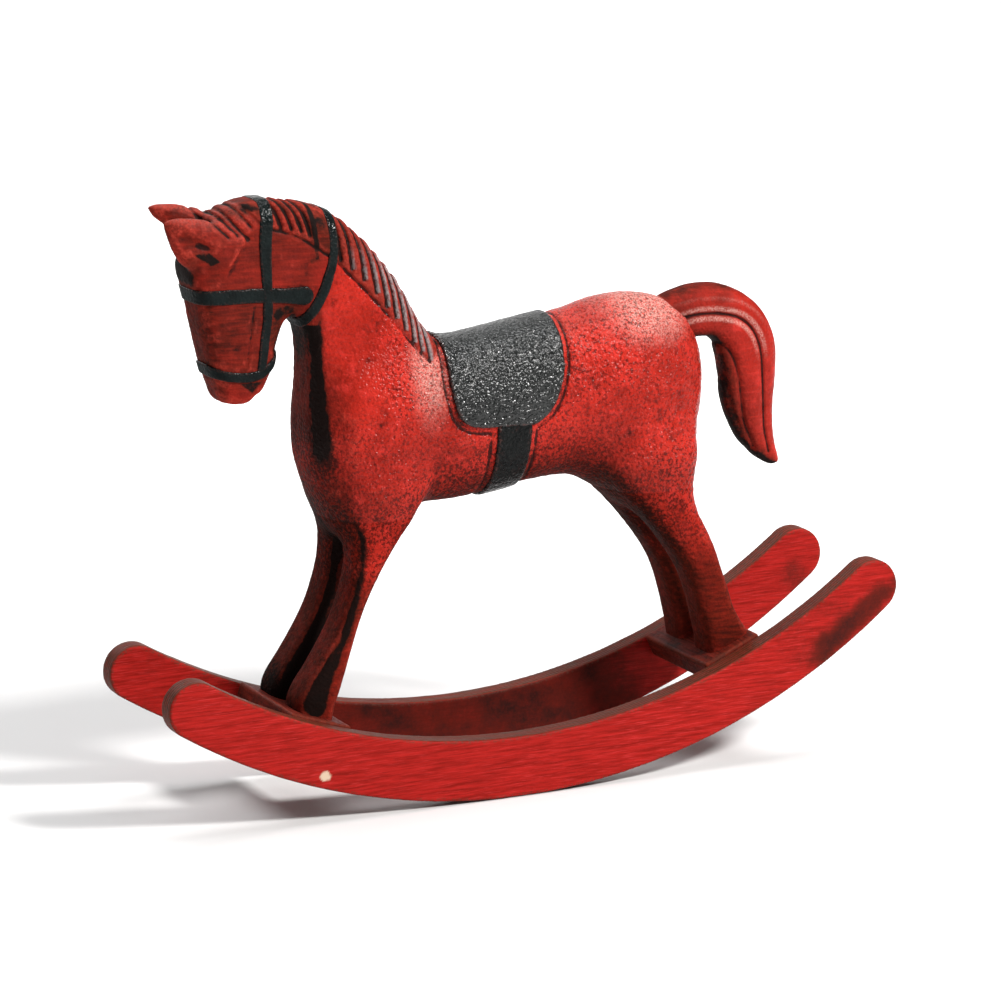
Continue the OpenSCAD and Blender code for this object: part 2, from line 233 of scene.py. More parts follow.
# a joint plane is a point and the direction that is cut away (mm)
def make(name, pts, quads, tris=None, cuts=(), keep=None, displace=None, relax=0):
    """A mesh object in metres from points in mm."""
    me = bpy.data.meshes.new(name)
    # openvdb winds its faces inward for Blender, so they are turned here
    faces = quads[:, ::-1]
    nq = len(faces)
    tri = tris[:, ::-1] if tris is not None and len(tris) else np.zeros((0, 3), int)
    me.vertices.add(len(pts))
    me.vertices.foreach_set("co", (pts + [SH, 0, 0]).astype(np.float32).ravel() / 1000)
    me.loops.add(nq * 4 + len(tri) * 3)
    me.loops.foreach_set("vertex_index", np.concatenate([faces.ravel(), tri.ravel()]).astype(np.int32))
    me.polygons.add(nq + len(tri))
    me.polygons.foreach_set("loop_start", np.concatenate(
        [np.arange(nq) * 4, nq * 4 + np.arange(len(tri)) * 3]).astype(np.int32))
    me.update(calc_edges=True)
    me.validate()
    ob = bpy.data.objects.new(name, me)
    bpy.context.scene.collection.objects.link(ob)
    if relax:
        bm = bmesh.new()
        bm.from_mesh(me)
        for _ in range(relax):
            bmesh.ops.smooth_vert(bm, verts=bm.verts, factor=0.5, use_axis_x=True, use_axis_y=True, use_axis_z=True)
        bm.to_mesh(me)
        bm.free()
    if displace is not None:
        P = coords(ob)
        N = np.empty(len(me.vertices) * 3, np.float32)
        me.vertex_normals.foreach_get("vector", N)
        N = N.reshape(-1, 3)
        P = P + N * displace(P, N)[:, None]
        me.vertices.foreach_set("co", ((P + [SH, 0, 0]) / 1000).astype(np.float32).ravel())
        me.update()
    if cuts:
        bm = bmesh.new()
        bm.from_mesh(me)
        for co, no in cuts:
            c = Vector(((co[0] + SH) / 1000, co[1] / 1000, co[2] / 1000))
            r = bmesh.ops.bisect_plane(bm, geom=bm.verts[:] + bm.edges[:] + bm.faces[:], dist=1e-7,
                                       plane_co=c, plane_no=Vector(no).normalized(), clear_outer=True)
            edges = [e for e in r["geom_cut"] if isinstance(e, bmesh.types.BMEdge)]
            edges = [e for e in edges if e.is_valid and e.is_boundary]
            if edges:
                new = bmesh.ops.holes_fill(bm, edges=edges, sides=0)["faces"]
                for fc in new:
                    fc.smooth = False
                    for e in fc.edges:
                        e.smooth = False
                if new:
                    bmesh.ops.triangulate(bm, faces=new)
        bm.to_mesh(me)
        bm.free()
    if keep is not None:
        pass
    for p in me.polygons:
        p.use_smooth = True
    me.update()
    return ob


def coords(ob):
    """Vertex places in mm, measured as the shapes are."""
    a = np.empty(len(ob.data.vertices) * 3, np.float32)
    ob.data.vertices.foreach_get("co", a)
    return a.reshape(-1, 3).astype(float) * 1000 - [SH, 0, 0]


def attribute(ob, name, values):
    at = ob.data.attributes.new(name, "FLOAT", "POINT")
    at.data.foreach_set("value", np.clip(values, -4, 4).astype(np.float32))


# ------------------------------------------------------------------ shapes, all in mm
RR, TAPER, BAND, TILT = 250.5, 11.9, 23.2, 3.2
TOP_R = RR + TAPER - BAND
HALF_A = math.degrees(math.asin(140 / (RR - BAND / 2)))
CX = -TAPER * math.sin(math.radians(TILT))
CZ = RR + TAPER * math.cos(math.radians(TILT))
FRONT_A, REAR_A = TILT - 21.8, TILT + 20.3
BOARD_R = TOP_R - 1.0


def board_z(a, x):
    a = math.radians(a)
    return CZ - BOARD_R * math.cos(a) + math.tan(a) * (x - CX - BOARD_R * math.sin(a))


BARREL = [  # x, lower z, upper z, half width, squareness
    [-72.8, 127, 145, 8.5, 2.3], [-70.5, 119, 156, 13.5, 2.4],
    [-66, 107, 166, 18, 2.5], [-59, 99, 172, 21.5, 2.5],
    [-48, 98, 174, 23, 2.5], [-38, 104, 174, 22.6, 2.4],
    [-28, 108.8, 172.5, 21.5, 2.2], [-14, 109.4, 170.2, 21.5, 2.2],
    [2, 111.2, 172, 21.5, 2.2], [18, 113.6, 174.6, 21.5, 2.2],
    [34, 113.8, 177.3, 21, 2.1], [46, 108.5, 180.4, 21.4, 2.15],
    [58, 100, 181.6, 21.4, 2.15], [68, 96, 180.6, 20.4, 2.1],
    [76, 98, 178, 18, 2.1], [82, 107, 174.5, 15.2, 2],
    [87, 122, 168, 11, 2], [89.9, 133, 160.5, 7, 2],
    [91, 141, 152, 3.2, 2]]
barrel = loft([[q[0], q[1], q[0], q[2], q[3], 0, q[4]] for q in BARREL])
HEAD = [
    [-66, 116, -8, 150, 19, 0, 2.4], [-71.5, 128, -17, 160.5, 19, 0, 2.7],
    [-73, 138, -23.5, 171, 18, 0, 3.1],
    [-73.2, 148, -29.5, 181.5, 16.2, 0, 3.4], [-73.2, 158, -36, 193, 14.7, 0, 3.6],
    [-73.2, 168, -43.5, 203, 13.5, 0, 3.7], [-74, 176.5, -52.5, 213, 12.8, 0, 3.7],
    [-76, 182, -63.5, 221.5, 12.2, 0, 3.6], [-79, 184, -77, 226, 11.9, 0, 3.5],
    [-82, 182, -94, 227.8, 11.7, 0, 3.5], [-84, 178, -109, 223, 11.8, 0, 3.6],
    [-85.4, 173, -119.6, 207.5, 11.8, 0, 3.6],
    [-86.2, 168, -117, 194, 11.6, 0, 3.8],
    [-88, 163, -114.4, 180, 11, 0, 3.6],
    [-90.8, 158, -111.3, 167, 10.3, 0, 3.4],
    [-93.6, 156.2, -109, 160.2, 9.4, 0, 3.4],
    [-95.2, 154.4, -107.8, 156.4, 8.4, 0, 3.2],
    [-96.8, 153.4, -106, 154.2, 6.6, 0, 2.8]]
head = loft(HEAD)
EAR = [[-109, 205.5, -99.5, 218, 4.8, 8.0, 2.2], [-115.5, 210, -106.2, 222.8, 4.7, 8.2, 2.3],
       [-119.8, 213.8, -112.4, 225, 4.1, 8.4, 2.3], [-123.6, 218.2, -118.8, 226.4, 3.1, 8.6, 2.1],
       [-127, 222.9, -124.6, 226.8, 1.7, 8.8, 2], [-128.6, 225.2, -128.1, 226.2, 0.6, 8.9, 2]]
EAR_NEAR = [[-109, 200.5, -98.5, 216.8, 4.9, 7.6, 2.2], [-116.4, 203.4, -105.6, 220.8, 5.0, 8.2, 2.3],
            [-122.4, 206.8, -112.4, 222.4, 4.6, 8.6, 2.3], [-126.2, 212.2, -119.4, 223.6, 3.6, 8.9, 2.1],
            [-128.7, 218.4, -125.6, 224, 2.0, 9.1, 2], [-129.8, 222, -129.3, 223.3, 0.7, 9.2, 2]]
ears = [loft(EAR, 6, 48, False), loft(EAR_NEAR, 6, 48, True)]
LW, LY = 8.5, -12.0


def leg_front(s):
    return [[-84, board_z(FRONT_A, -84) - 2, -69.6, board_z(FRONT_A, -69.6) - 2, LW, s * LY, 4],
            [-83.2, 42.2, -68.3, 38.8, LW, s * LY, 4],
            [-81.2, 46.6, -66, 45, LW, s * LY, 3.8], [-76, 54, -63, 54, LW - 0.2, s * LY, 3.6],
            [-70.8, 62, -60.5, 62, LW - 0.4, s * LY, 3.4],
            [-66.3, 70, -57.5, 71, LW - 0.4, s * LY, 3.2],
            [-62.9, 79, -53.6, 80, LW - 0.2, s * LY, 3.1],
            [-60.8, 88, -48.6, 89, LW, s * (LY - 0.1), 3],
            [-60.4, 98, -42.4, 98, LW + 0.3, s * (LY - 0.2), 2.9],
            [-61.8, 108, -35.2, 108, LW + 0.9, s * (LY - 0.5), 2.8],
            [-62.5, 118, -30, 120, LW + 1.2, s * (LY - 0.6), 2.6],
            [-60, 128, -34, 130, LW - 1, s * (LY + 0.6), 2.4]]


def leg_hind(s):
    return [[88.4, board_z(REAR_A, 88.4) - 2, 106, board_z(REAR_A, 106) - 2, LW, s * LY, 4],
            [87.4, 46.2, 104.4, 50, LW, s * LY, 4],
            [86.2, 51.5, 102, 53.4, LW, s * LY, 3.8], [84.6, 57.6, 99, 59.4, LW - 0.2, s * LY, 3.6],
            [82, 66, 96.6, 67, LW - 0.3, s * LY, 3.4],
            [78.6, 74, 94, 74.5, LW - 0.3, s * LY, 3.2],
            [73.6, 82, 91.2, 82.5, LW, s * LY, 3.1], [67.5, 90, 87.4, 90.5, LW + 0.3, s * (LY - 0.2), 3],
            [60, 98.5, 83.4, 98.5, LW + 0.7, s * (LY - 0.5), 2.8],
            [51, 108, 81.8, 108, LW + 1.2, s * (LY - 0.8), 2.7],
            [45, 119, 83.5, 121, LW + 1.2, s * (LY - 0.8), 2.5],
            [50, 131, 82, 133, LW - 1, s * (LY + 0.8), 2.4]]


TAIL = [
    [84, 161, 74, 178.4, 6.6, 0, 2.3],
    [89, 161.8, 79.5, 180.4, 7, 0, 2.4],
    [93, 161.6, 89, 182.4, 7.2, 0, 2.5], [96, 160, 99.5, 181.8, 7.3, 0, 2.5],
    [98.6, 156.5, 110, 177.6, 7.4, 0, 2.5], [100, 151, 118.7, 170, 7.4, 0, 2.5],
    [100.8, 144, 124, 159, 7.3, 0, 2.5], [101.8, 137, 124.7, 147, 7.2, 0, 2.5],
    [104.2, 129.5, 123.8, 134, 6.8, 0, 2.4], [108.6, 121, 124, 124, 6, 0, 2.4],
    [115, 114, 125.4, 117, 4.8, 0, 2.2], [121.3, 109.8, 127.1, 111.8, 2.8, 0, 2],
    [124.2, 108.8, 127.3, 109.7, 1.3, 0, 2]]

NECK_A, NECK_B = (-72, 137), (-24, 171)
NECK_N = (-(NECK_B[1] - NECK_A[1]), 0, NECK_B[0] - NECK_A[0])      # up and forward
LEG_Z = 108.0

# outlines seen from the side
PAD = curve([(-20.8, 174), (-21.2, 166), (-21.7, 157), (-20.8, 149.5), (-18.6, 143.6), (-14.6, 140.4),
             (-9, 139.3), (-3.6, 139), (3, 139), (10.4, 138.8), (14.8, 140.4), (19, 144.2), (22.4, 150.6),
             (24.8, 158), (25.6, 165), (26, 171), (26, 178)], 5)
PAD = np.vstack([PAD, [(26, 190), (-20.8, 190)]])
RIM = curve([(-23.2, 175), (-23.8, 166), (-24.3, 156.5), (-23, 147.6), (-20.6, 141), (-16.4, 137.6),
             (-11, 136), (-7.2, 135), (-7, 128), (-7.8, 120), (-8.8, 113), (-9.4, 108)], 5)
RIM2 = curve([(28.2, 180), (28, 171), (27.6, 165), (26.9, 157.6), (24.4, 149.8), (20.8, 142.6), (16.4, 138.4),
              (12.6, 136.2), (12.4, 129), (11.8, 122), (10.6, 114), (10, 108)], 5)
GIRTH = curve([(3.6, 142), (3.6, 132), (3.4, 124), (3, 114), (3, 104)], 5)
CROWN = curve([(-91, 234), (-90.6, 228), (-90.6, 221.5), (-91.4, 213.8), (-91.4, 205.7), (-91, 196.5),
               (-90.8, 186), (-92, 176), (-93, 167), (-93.2, 165)], 5)
CROWN_W = np.interp(np.linspace(0, 1, len(CROWN)), [0, .25, .45, .6, .8, 1], [2.7, 2.6, 2.2, 1.9, 2, 1.7])
BROW = curve([(-124, 194.8), (-117, 194.5), (-105, 194.4), (-92, 194), (-84, 193.2), (-76.6, 192.6)], 5)
BROW_W = np.interp(np.linspace(0, 1, len(BROW)), [0, .5, .8, 1], [2.8, 2.7, 2.8, 3.6])
NOSE = curve([(-120, 171.5), (-116, 169.2), (-109.8, 166), (-100.5, 164.2), (-93.4, 165), (-87.5, 168.4), (-83, 172)], 5)
THROAT = curve([(-66, 231), (-65.6, 225), (-65.2, 219), (-64.9, 210), (-65.8, 203), (-68.8, 194.5), (-72.2, 188),
                (-75.6, 183), (-78, 179)], 5)
THROAT_W = np.interp(np.linspace(0, 1, len(THROAT)), [0, .3, .6, 1], [2.2, 1.8, 1.9, 2.1])
TAB = curve([(-69.6, 226), (-70.4, 216), (-71.2, 208), (-71.6, 202.6)], 4)
MANE_LOW = curve([(-90.6, 218), (-85.5, 217), (-78.1, 214.2), (-71.1, 209.6), (-64.1, 204.5), (-58.6, 198.9), (-53, 193.3),
                  (-47.5, 187), (-41.9, 180.6), (-37.1, 174.6), (-33.1, 169.4), (-28.3, 164.6)], 5)
CREST = curve([(-99, 227), (-92, 228.2), (-84, 227.6), (-76, 226.4), (-68.4, 224), (-62.5, 221.2), (-58.5, 218.4),
               (-52.6, 213.1), (-48.6, 209.1), (-44.6, 204.4), (-40.6, 199.6), (-36.6, 194.1), (-32.6, 187.4),
               (-28.6, 180.7), (-25.3, 174.8), (-22, 170)], 5)


# slanting cuts of the mane: poll, then down the neck; each from the crest to the mane's lower line
GROOVES = [curve([a, ((a[0] + b[0]) / 2 + 0.7, (a[1] + b[1]) / 2 + 0.5), b], 4) for a, b in (
    ((-90.6, 229.5), (-85.2, 218.2)), ((-86.7, 229.5), (-81.2, 217.3)), ((-82.9, 229), (-77.3, 216.1)),
    ((-79.4, 228.4), (-74, 214.6)),
    ((-66.4, 226), (-62.2, 204.6)), ((-61.8, 223), (-58, 201.4)), ((-57, 218.6), (-53.2, 197.2)),
    ((-52.8, 214), (-48.6, 191.9)), ((-48.3, 209.4), (-44.6, 186.5)), ((-44.3, 204.4), (-41.2, 182)),
    ((-40.6, 199.6), (-37.8, 177.4)), ((-36.6, 194.4), (-34.4, 172.6)), ((-33, 188.4), (-31.4, 168.9)),
    ((-29.6, 182.8), (-28.4, 165.4)))]
FORELOCK = [curve([(-107.9, 228), (-103.4, 220.8), (-98.2, 214.8)], 4), curve([(-111, 228), (-106.8, 221.6), (-102, 216.4)], 4),
            curve([(-104, 229), (-100.4, 224), (-96.6, 219)], 4), curve([(-114, 226), (-110.4, 220.6), (-106, 216.2)], 4)]


def trunk(G, parts, detail=True):
    """The carved wood: signed distance over grid G from the named parts."""
    f = None
    if "barrel" in parts:
        f = solid(G, barrel)
    if "head" in parts:
        h = solid(G, head)
        f = h if f is None else smin(f, h, 5.0)
    if "ears" in parts:
        for e in ears:
            f = smin(f, solid(G, e), 2.2)
    for nm, fn, s in (("fl", leg_front, 1), ("fr", leg_front, -1), ("hl", leg_hind, 1), ("hr", leg_hind, -1)):
        if nm in parts:
            l = solid(G, loft(fn(s)))
            f = l if f is None else smin(f, l, 5.5)
    return f


def carve(G, f):
    """Cuts that the paint shows: round the saddle, mane, forelock and cheeks."""
    px, pz = G.PX, G.PZ
    d = np.minimum(area_dist(px, pz, PAD), line_dist(px, pz, GIRTH) - 7.1)
    f = f + G.flat(0.62 * np.exp(-((d - 2.3) / 0.75) ** 2))
    # lower line of the mane; the mane itself stands a little proud of the neck
    inside = np.vstack([MANE_LOW[::-1], CREST])
    a = area_dist(px, pz, inside)
    f = f - G.flat(0.45 * step(0.6, -0.8, a))
    f = f + G.flat(0.5 * np.exp(-(line_dist(px, pz, MANE_LOW) / 0.6) ** 2))
    for c in GROOVES:
        w = np.linspace(0.25, 0.0, len(c))
        d = line_dist(px, pz, c, w)
        f = f + G.flat(1.15 * np.exp(-(np.maximum(d, 0) / 0.8) ** 2) * step(230, 226, pz - 0 * px + 0))
    for c in FORELOCK:
        f = f + G.flat(0.75 * np.exp(-(line_dist(px, pz, c) / 0.7) ** 2))
    # cut line on the cheek beside the strap
    d = line_dist(px, pz, [(-96, 190), (-97.7, 178.2), (-99.0, 168.1)])
    f = f + G.flat(0.4 * np.exp(-(d / 0.55) ** 2))
    return f


def ear_cut(G, f):
    """The hollow inside each ear: a leaf-shaped scoop below its upper edge."""
    near = curve([(-126.4, 218.4), (-121.4, 218.4), (-115.6, 215.2), (-113, 212.6), (-116.6, 211.6), (-120.4, 212),
                  (-124, 214), (-126.4, 218.4)], 4)
    for leaf, s in ((near, -1), (near + [0.4, 2.6], 1)):
        a = area_dist(G.PX, G.PZ, leaf)
        f = f + G.flat(1.2 * step(1.8, -2.6, a)) * step(5.5, 8.5, G.y * s)
    return f


def shell(G, f, outline, thick, edge=0.7, under=0.7):
    """A skin on the wood inside a side outline (a map over x and z, negative inside)."""
    g = np.maximum(f - thick, -(f + under))
    P = np.stack([G.PX, G.PX * 0, G.PZ], -1)
    rag = 0.32 * fbm(P, 5.5, 70, 3)      # hand-cut edges
    return smax(g, np.broadcast_to(G.flat(outline + rag), g.shape), edge)

# lengthwise cuts down the tail, seen from the side
TAIL_CUT1 = curve([(79, 169.2), (84, 170.6), (89.1, 171.4), (97.7, 171), (106.4, 168.6), (112.4, 163.4), (115.8, 155.4),
                   (117, 143.5), (117.7, 133), (118.6, 124), (121.4, 114.6)], 5)
TAIL_CUT2 = curve([(95.2, 161), (101, 157.6), (104.5, 152.5), (106.6, 145), (107.9, 136.6), (109.8, 127), (114.6, 117.6)], 5)
TAIL_CUT3 = curve([(99.6, 153), (102.4, 143), (104.8, 133.6), (109, 124.4)], 5)


def blur(f, n=3):
    for _ in range(n):
        for k in range(3):
            g = f.copy()
            lo = [slice(None)] * 3
            hi = [slice(None)] * 3
            mid = [slice(None)] * 3
            lo[k], hi[k], mid[k] = slice(0, -2), slice(2, None), slice(1, -1)
            g[tuple(mid)] = 0.5 * f[tuple(mid)] + 0.25 * (f[tuple(lo)] + f[tuple(hi)])
            f = g
    return f


def sample(G, f, P):
    q = (P - G.lo) / G.h
    q = np.clip(q, 0, G.n - 1.001)
    i = np.floor(q).astype(int)
    r = q - i
    out = 0
    for a in (0, 1):
        for b in (0, 1):
            for c in (0, 1):
                w = ((r[:, 0] if a else 1 - r[:, 0]) * (r[:, 1] if b else 1 - r[:, 1])
                     * (r[:, 2] if c else 1 - r[:, 2]))
                out = out + w * f[i[:, 0] + a, i[:, 1] + b, i[:, 2] + c]
    return out


def mesh_from(name, G, f, displace=None):
    pts, quads, tris = surface(G, f)
    q = pts[quads]
    vol = np.einsum("ij,ij->i", q[:, 0], np.cross(q[:, 1], q[:, 2])).sum()
    vol += np.einsum("ij,ij->i", q[:, 0], np.cross(q[:, 2], q[:, 3])).sum()
    if vol > 0:      # make() turns faces over
        quads = quads[:, ::-1]
        if len(tris):
            tris = tris[:, ::-1]
    return make(name, pts, quads, tris, displace=displace)


def normals(ob):
    N = np.empty(len(ob.data.vertices) * 3, np.float32)
    ob.data.vertex_normals.foreach_get("vector", N)
    return N.reshape(-1, 3)


def part_of(src, name, cuts):
    """A copy of a mesh object with everything on the far side of each plane cut away and closed."""
    me = src.data.copy()
    ob = bpy.data.objects.new(name, me)
    bpy.context.scene.collection.objects.link(ob)
    bm = bmesh.new()
    bm.from_mesh(me)
    for co, no in cuts:
        c = Vector(((co[0] + SH) / 1000, co[1] / 1000, co[2] / 1000))
        r = bmesh.ops.bisect_plane(bm, geom=bm.verts[:] + bm.edges[:] + bm.faces[:], dist=1e-7,
                                   plane_co=c, plane_no=Vector(no).normalized(), clear_outer=True)
        edges = [e for e in r["geom_cut"] if isinstance(e, bmesh.types.BMEdge) and e.is_boundary]
        if edges:
            new = bmesh.ops.holes_fill(bm, edges=edges, sides=0)["faces"]
            for fc in new:
                for e in fc.edges:
                    e.smooth = False
            if new:
                bmesh.ops.triangulate(bm, faces=new)
    # nothing smaller than the main piece is kept
    seen, best = set(), []
    for v in bm.verts:
        if v in seen:
            continue
        stack, isle = [v], []
        seen.add(v)
        while stack:
            u = stack.pop()
            isle.append(u)
            for e in u.link_edges:
                w = e.other_vert(u)
                if w not in seen:
                    seen.add(w)
                    stack.append(w)
        if len(isle) > len(best):
            best = isle
    keep = set(best)
    gone = [v for v in bm.verts if v not in keep]
    if gone:
        bmesh.ops.delete(bm, geom=gone, context="VERTS")
    bm.to_mesh(me)
    bm.free()
    for p in me.polygons:
        p.use_smooth = True
    me.update()
    return ob


# ------------------------------------------------------------------ node materials
class Mat:
    def __init__(self, name, **principled):
        self.m = bpy.data.materials.new(name)
        self.m.use_nodes = True
        self.t = self.m.node_tree
        self.t.nodes.clear()
        self.out = self.t.nodes.new("ShaderNodeOutputMaterial")
        self.b = self.t.nodes.new("ShaderNodeBsdfPrincipled")
        self.t.links.new(self.b.outputs[0], self.out.inputs[0])
        for k, v in principled.items():
            self.b.inputs[k.replace("_", " ")].default_value = v
        self.co = self.node("ShaderNodeTexCoord").outputs["Object"]

    def node(self, kind, props=None, **inputs):
        n = self.t.nodes.new(kind)
        for k, v in (props or {}).items():
            setattr(n, k, v)
        for k, v in inputs.items():
            self.set(n.inputs[k.replace("_", " ")], v)
        return n

    def set(self, socket, v):
        if isinstance(v, bpy.types.NodeSocket):
            self.t.links.new(v, socket)
        else:
            if isinstance(v, tuple) and len(v) == 3 and socket.type == "RGBA":
                v = (*v, 1)
            socket.default_value = v

    def place(self, scale=(1000, 1000, 1000), rot=(0, 0, 0), loc=(0, 0, 0), src=None):
        n = self.node("ShaderNodeMapping", {"vector_type": "POINT"})
        self.t.links.new(src or self.co, n.inputs["Vector"])
        n.inputs["Location"].default_value = loc
        n.inputs["Rotation"].default_value = rot
        n.inputs["Scale"].default_value = scale
        return n.outputs[0]

    def noise(self, scale, detail=3, rough=0.55, vec=None, distort=0.0, shift=0):
        """Noise whose features are about 1/scale mm."""
        n = self.node("ShaderNodeTexNoise", {"noise_dimensions": "3D"}, Scale=1.0, Detail=detail,
                      Roughness=rough, Distortion=distort)
        s = 1000 * scale
        self.t.links.new(vec or self.place((s, s, s), loc=(shift, shift * 1.7, -shift)), n.inputs["Vector"])
        return n.outputs["Fac"]

    def cells(self, scale, feature="F1", vec=None, rand=1.0):
        n = self.node("ShaderNodeTexVoronoi", {"feature": feature}, Scale=1.0, Randomness=rand)
        s = 1000 * scale
        self.t.links.new(vec or self.place((s, s, s)), n.inputs["Vector"])
        return n.outputs["Distance"]

    def attr(self, name):
        n = self.node("ShaderNodeAttribute", {"attribute_type": "GEOMETRY", "attribute_name": name})
        return n.outputs["Fac"]

    def math(self, op, a, b=0.0, c=None, clamp=False):
        n = self.node("ShaderNodeMath", {"operation": op, "use_clamp": clamp})
        self.set(n.inputs[0], a)
        self.set(n.inputs[1], b)
        if c is not None:
            self.set(n.inputs[2], c)
        return n.outputs[0]

    def ramp(self, v, a, b, lo=0.0, hi=1.0):
        n = self.node("ShaderNodeMapRange", {"clamp": True, "interpolation_type": "SMOOTHSTEP"})
        self.set(n.inputs["Value"], v)
        n.inputs["From Min"].default_value = a
        n.inputs["From Max"].default_value = b
        n.inputs["To Min"].default_value = lo
        n.inputs["To Max"].default_value = hi
        return n.outputs["Result"]

    def mix(self, fac, a, b, mode="MIX"):
        n = self.node("ShaderNodeMix", {"data_type": "RGBA", "blend_type": mode, "clamp_factor": True})
        self.set(n.inputs[0], fac)
        self.set(n.inputs[6], a)
        self.set(n.inputs[7], b)
        return n.outputs[2]

    def bump(self, height, dist, strength=1.0, after=None):
        n = self.node("ShaderNodeBump", Strength=strength, Distance=dist / 1000)
        self.set(n.inputs["Height"], height)
        if after is not None:
            self.set(n.inputs["Normal"], after)
        return n.outputs[0]

    def done(self, colour, rough, normal):
        self.set(self.b.inputs["Base Color"], colour)
        self.set(self.b.inputs["Roughness"], rough)
        self.set(self.b.inputs["Normal"], normal)
        return self.m


def painted_wood(name, level):
    """Red milk paint rubbed over black, on gritty carved wood. Vertex values: cav (valley -, ridge +), dark (smudges
    and painted shade), brick (brown-red tone and painted shade), pale (painted sheen), grit.
    """
    k = Mat(name, IOR=1.45, Specular_IOR_Level=level)
    cav, dark, brick_and_shade, pale, rgh = k.attr("cav"), k.attr("dark"), k.attr("brick_and_shade"), k.attr("pale"), k.attr("grit")
    big, mid = k.noise(0.035, 4, 0.6), k.noise(0.13, 5, 0.65, shift=3)
    fine = k.noise(0.75, 4, 0.7, shift=8)
    crust = k.noise(0.82, 5, 0.70, shift=5)
    grain = k.noise(1.7, 3, 0.7, shift=13)
    col = k.mix(k.ramp(big, 0.34, 0.66), RED_DEEP, RED)
    col = k.mix(k.ramp(mid, 0.50, 0.72, 0, 0.7), col, RED_PINK)
    # streaks of the brush, all at one slight slant
    st = k.noise(1, 4, 0.6, vec=k.place((90, 500, 750), rot=(0, math.radians(14), 0)))
    col = k.mix(k.ramp(st, 0.56, 0.70, 0, 0.35), col, RED_PINK)
    bk = k.mix(k.ramp(st, 0.35, 0.68), BRICK_DARK, BRICK)
    col = k.mix(k.math("MULTIPLY", brick_and_shade, k.ramp(mid, 0.25, 0.6, 0.75, 1.0), clamp=True), col, bk)
    # worn ridges
    ridge = k.math("MULTIPLY", k.ramp(cav, 0.04, 0.20), k.ramp(fine, 0.35, 0.7, 0.10, 0.6), clamp=True)
    col = k.mix(ridge, col, RED_WORN)
    # painted sheen: pinkish-white speckle where the pale value is high
    col = k.mix(k.math("MULTIPLY", pale, k.ramp(grain, 0.36, 0.62, 0.05, 0.9), clamp=True), col, (0.64, 0.34, 0.29))
    # dark crevices of the crust, thicker where the dark value is high: smudges, and painted shade on undersides, fronts
    # and inner sides
    low = k.math("MULTIPLY_ADD", dark, -0.15, crust)
    crev = k.math("MULTIPLY", k.ramp(low, 0.490, 0.415), k.ramp(k.math("MULTIPLY", rgh, k.ramp(k.math("MULTIPLY_ADD", dark, 0.5, big), 0.42, 0.72, 0.55, 1.0)), 0.0, 1.0, 0.10, 0.86), clamp=True)
    spk = k.math("MULTIPLY", k.ramp(grain, 0.60, 0.70), k.ramp(mid, 0.35, 0.62, 0.1, 0.75), clamp=True)
    # brown and black smudges in the paint, together with the painted shade that the dark value carries
    smudge_and_shade = k.math("MULTIPLY_ADD", dark, 1.1, k.math("MULTIPLY_ADD", mid, 0.55, -0.33))
    smudge_and_shade = k.ramp(k.math("ADD", smudge_and_shade, k.math("MULTIPLY_ADD", fine, 0.75, -0.38)), 0.12, 1.1, 0, 1)
    valley = k.ramp(k.math("MULTIPLY_ADD", grain, -0.10, cav), -0.10, -0.26)
    col = k.mix(k.math("MULTIPLY", smudge_and_shade, 0.75), col, BROWN)
    allb = k.math("MAXIMUM", k.math("MULTIPLY", valley, 0.9), k.math("MAXIMUM", k.math("MULTIPLY", crev, 0.85), k.math("MULTIPLY", spk, 0.45)))
    allb = k.math("MAXIMUM", allb, k.ramp(smudge_and_shade, 0.60, 1.0, 0, 0.95))
    col = k.mix(allb, col, BLACK)
    # painted glint: grey strokes beside the mane's cuts
    col = k.mix(k.math("MULTIPLY", k.attr("painted_glint"), k.ramp(fine, 0.30, 0.55, 0.2, 1.0), clamp=True), col, (0.30, 0.28, 0.28))
    pit = k.noise(0.78, 1, 0.45, shift=5)
    n1 = k.bump(k.math("MULTIPLY", pit, k.ramp(rgh, 0.0, 1.0, 0.12, 1.0)), 0.85, 1.0)
    n2 = k.bump(k.noise(1.15, 0, 0.5, shift=13), 0.16, 0.9, after=n1)
    rough = k.ramp(k.math("ADD", fine, k.math("MULTIPLY", allb, -0.2)), 0.2, 0.8, 0.15, 0.30)
    rough = k.math("ADD", rough, k.ramp(k.attr("gloss"), 1.0, 0.0, 0.0, 0.55), clamp=True)
    return k.done(col, rough, n2)


def black_paint(name, speck=1.0, base=(0.004, 0.0045, 0.0045), grey=(0.030, 0.031, 0.030), level=0.60, rough=(0.16, 0.28)):
    """Charcoal paint over grit, worn grey on the high grains, with a little of the red at its edges."""
    k = Mat(name, IOR=1.45, Specular_IOR_Level=level)
    cav = k.attr("cav")
    mid, fine = k.noise(0.16, 4, 0.6, shift=2), k.noise(0.95, 4, 0.68, shift=11)
    crust = k.noise(0.82, 5, 0.70, shift=5)
    grain = k.noise(1.7, 3, 0.7, shift=13)
    col = k.mix(k.ramp(mid, 0.3, 0.7), base, tuple(v * 2.2 for v in base))
    col = k.mix(k.math("MULTIPLY", k.ramp(fine, 0.54, 0.72), 0.55 * speck), col, grey)
    col = k.mix(k.math("MULTIPLY", k.ramp(cav, 0.12, 0.26), k.ramp(fine, 0.45, 0.62, 0, 0.55), clamp=True), col, (0.09, 0.030, 0.024))
    n1 = k.bump(k.noise(0.84, 1, 0.45, shift=5), 0.95 * (0.12 + 0.88 * speck), 1.0)
    n2 = k.bump(k.noise(1.15, 0, 0.5, shift=13), 0.22 * (0.3 + 0.7 * speck), 0.9, after=n1)
    rgh = k.ramp(k.math("ADD", fine, k.math("MULTIPLY", mid, 0.4)), 0.45, 0.95, *rough)
    return k.done(col, k.math("ADD", rgh, k.ramp(k.attr("gloss"), 1.0, 0.0, 0.0, 0.45 if speck < 0.5 else 0.04), clamp=True), n2)


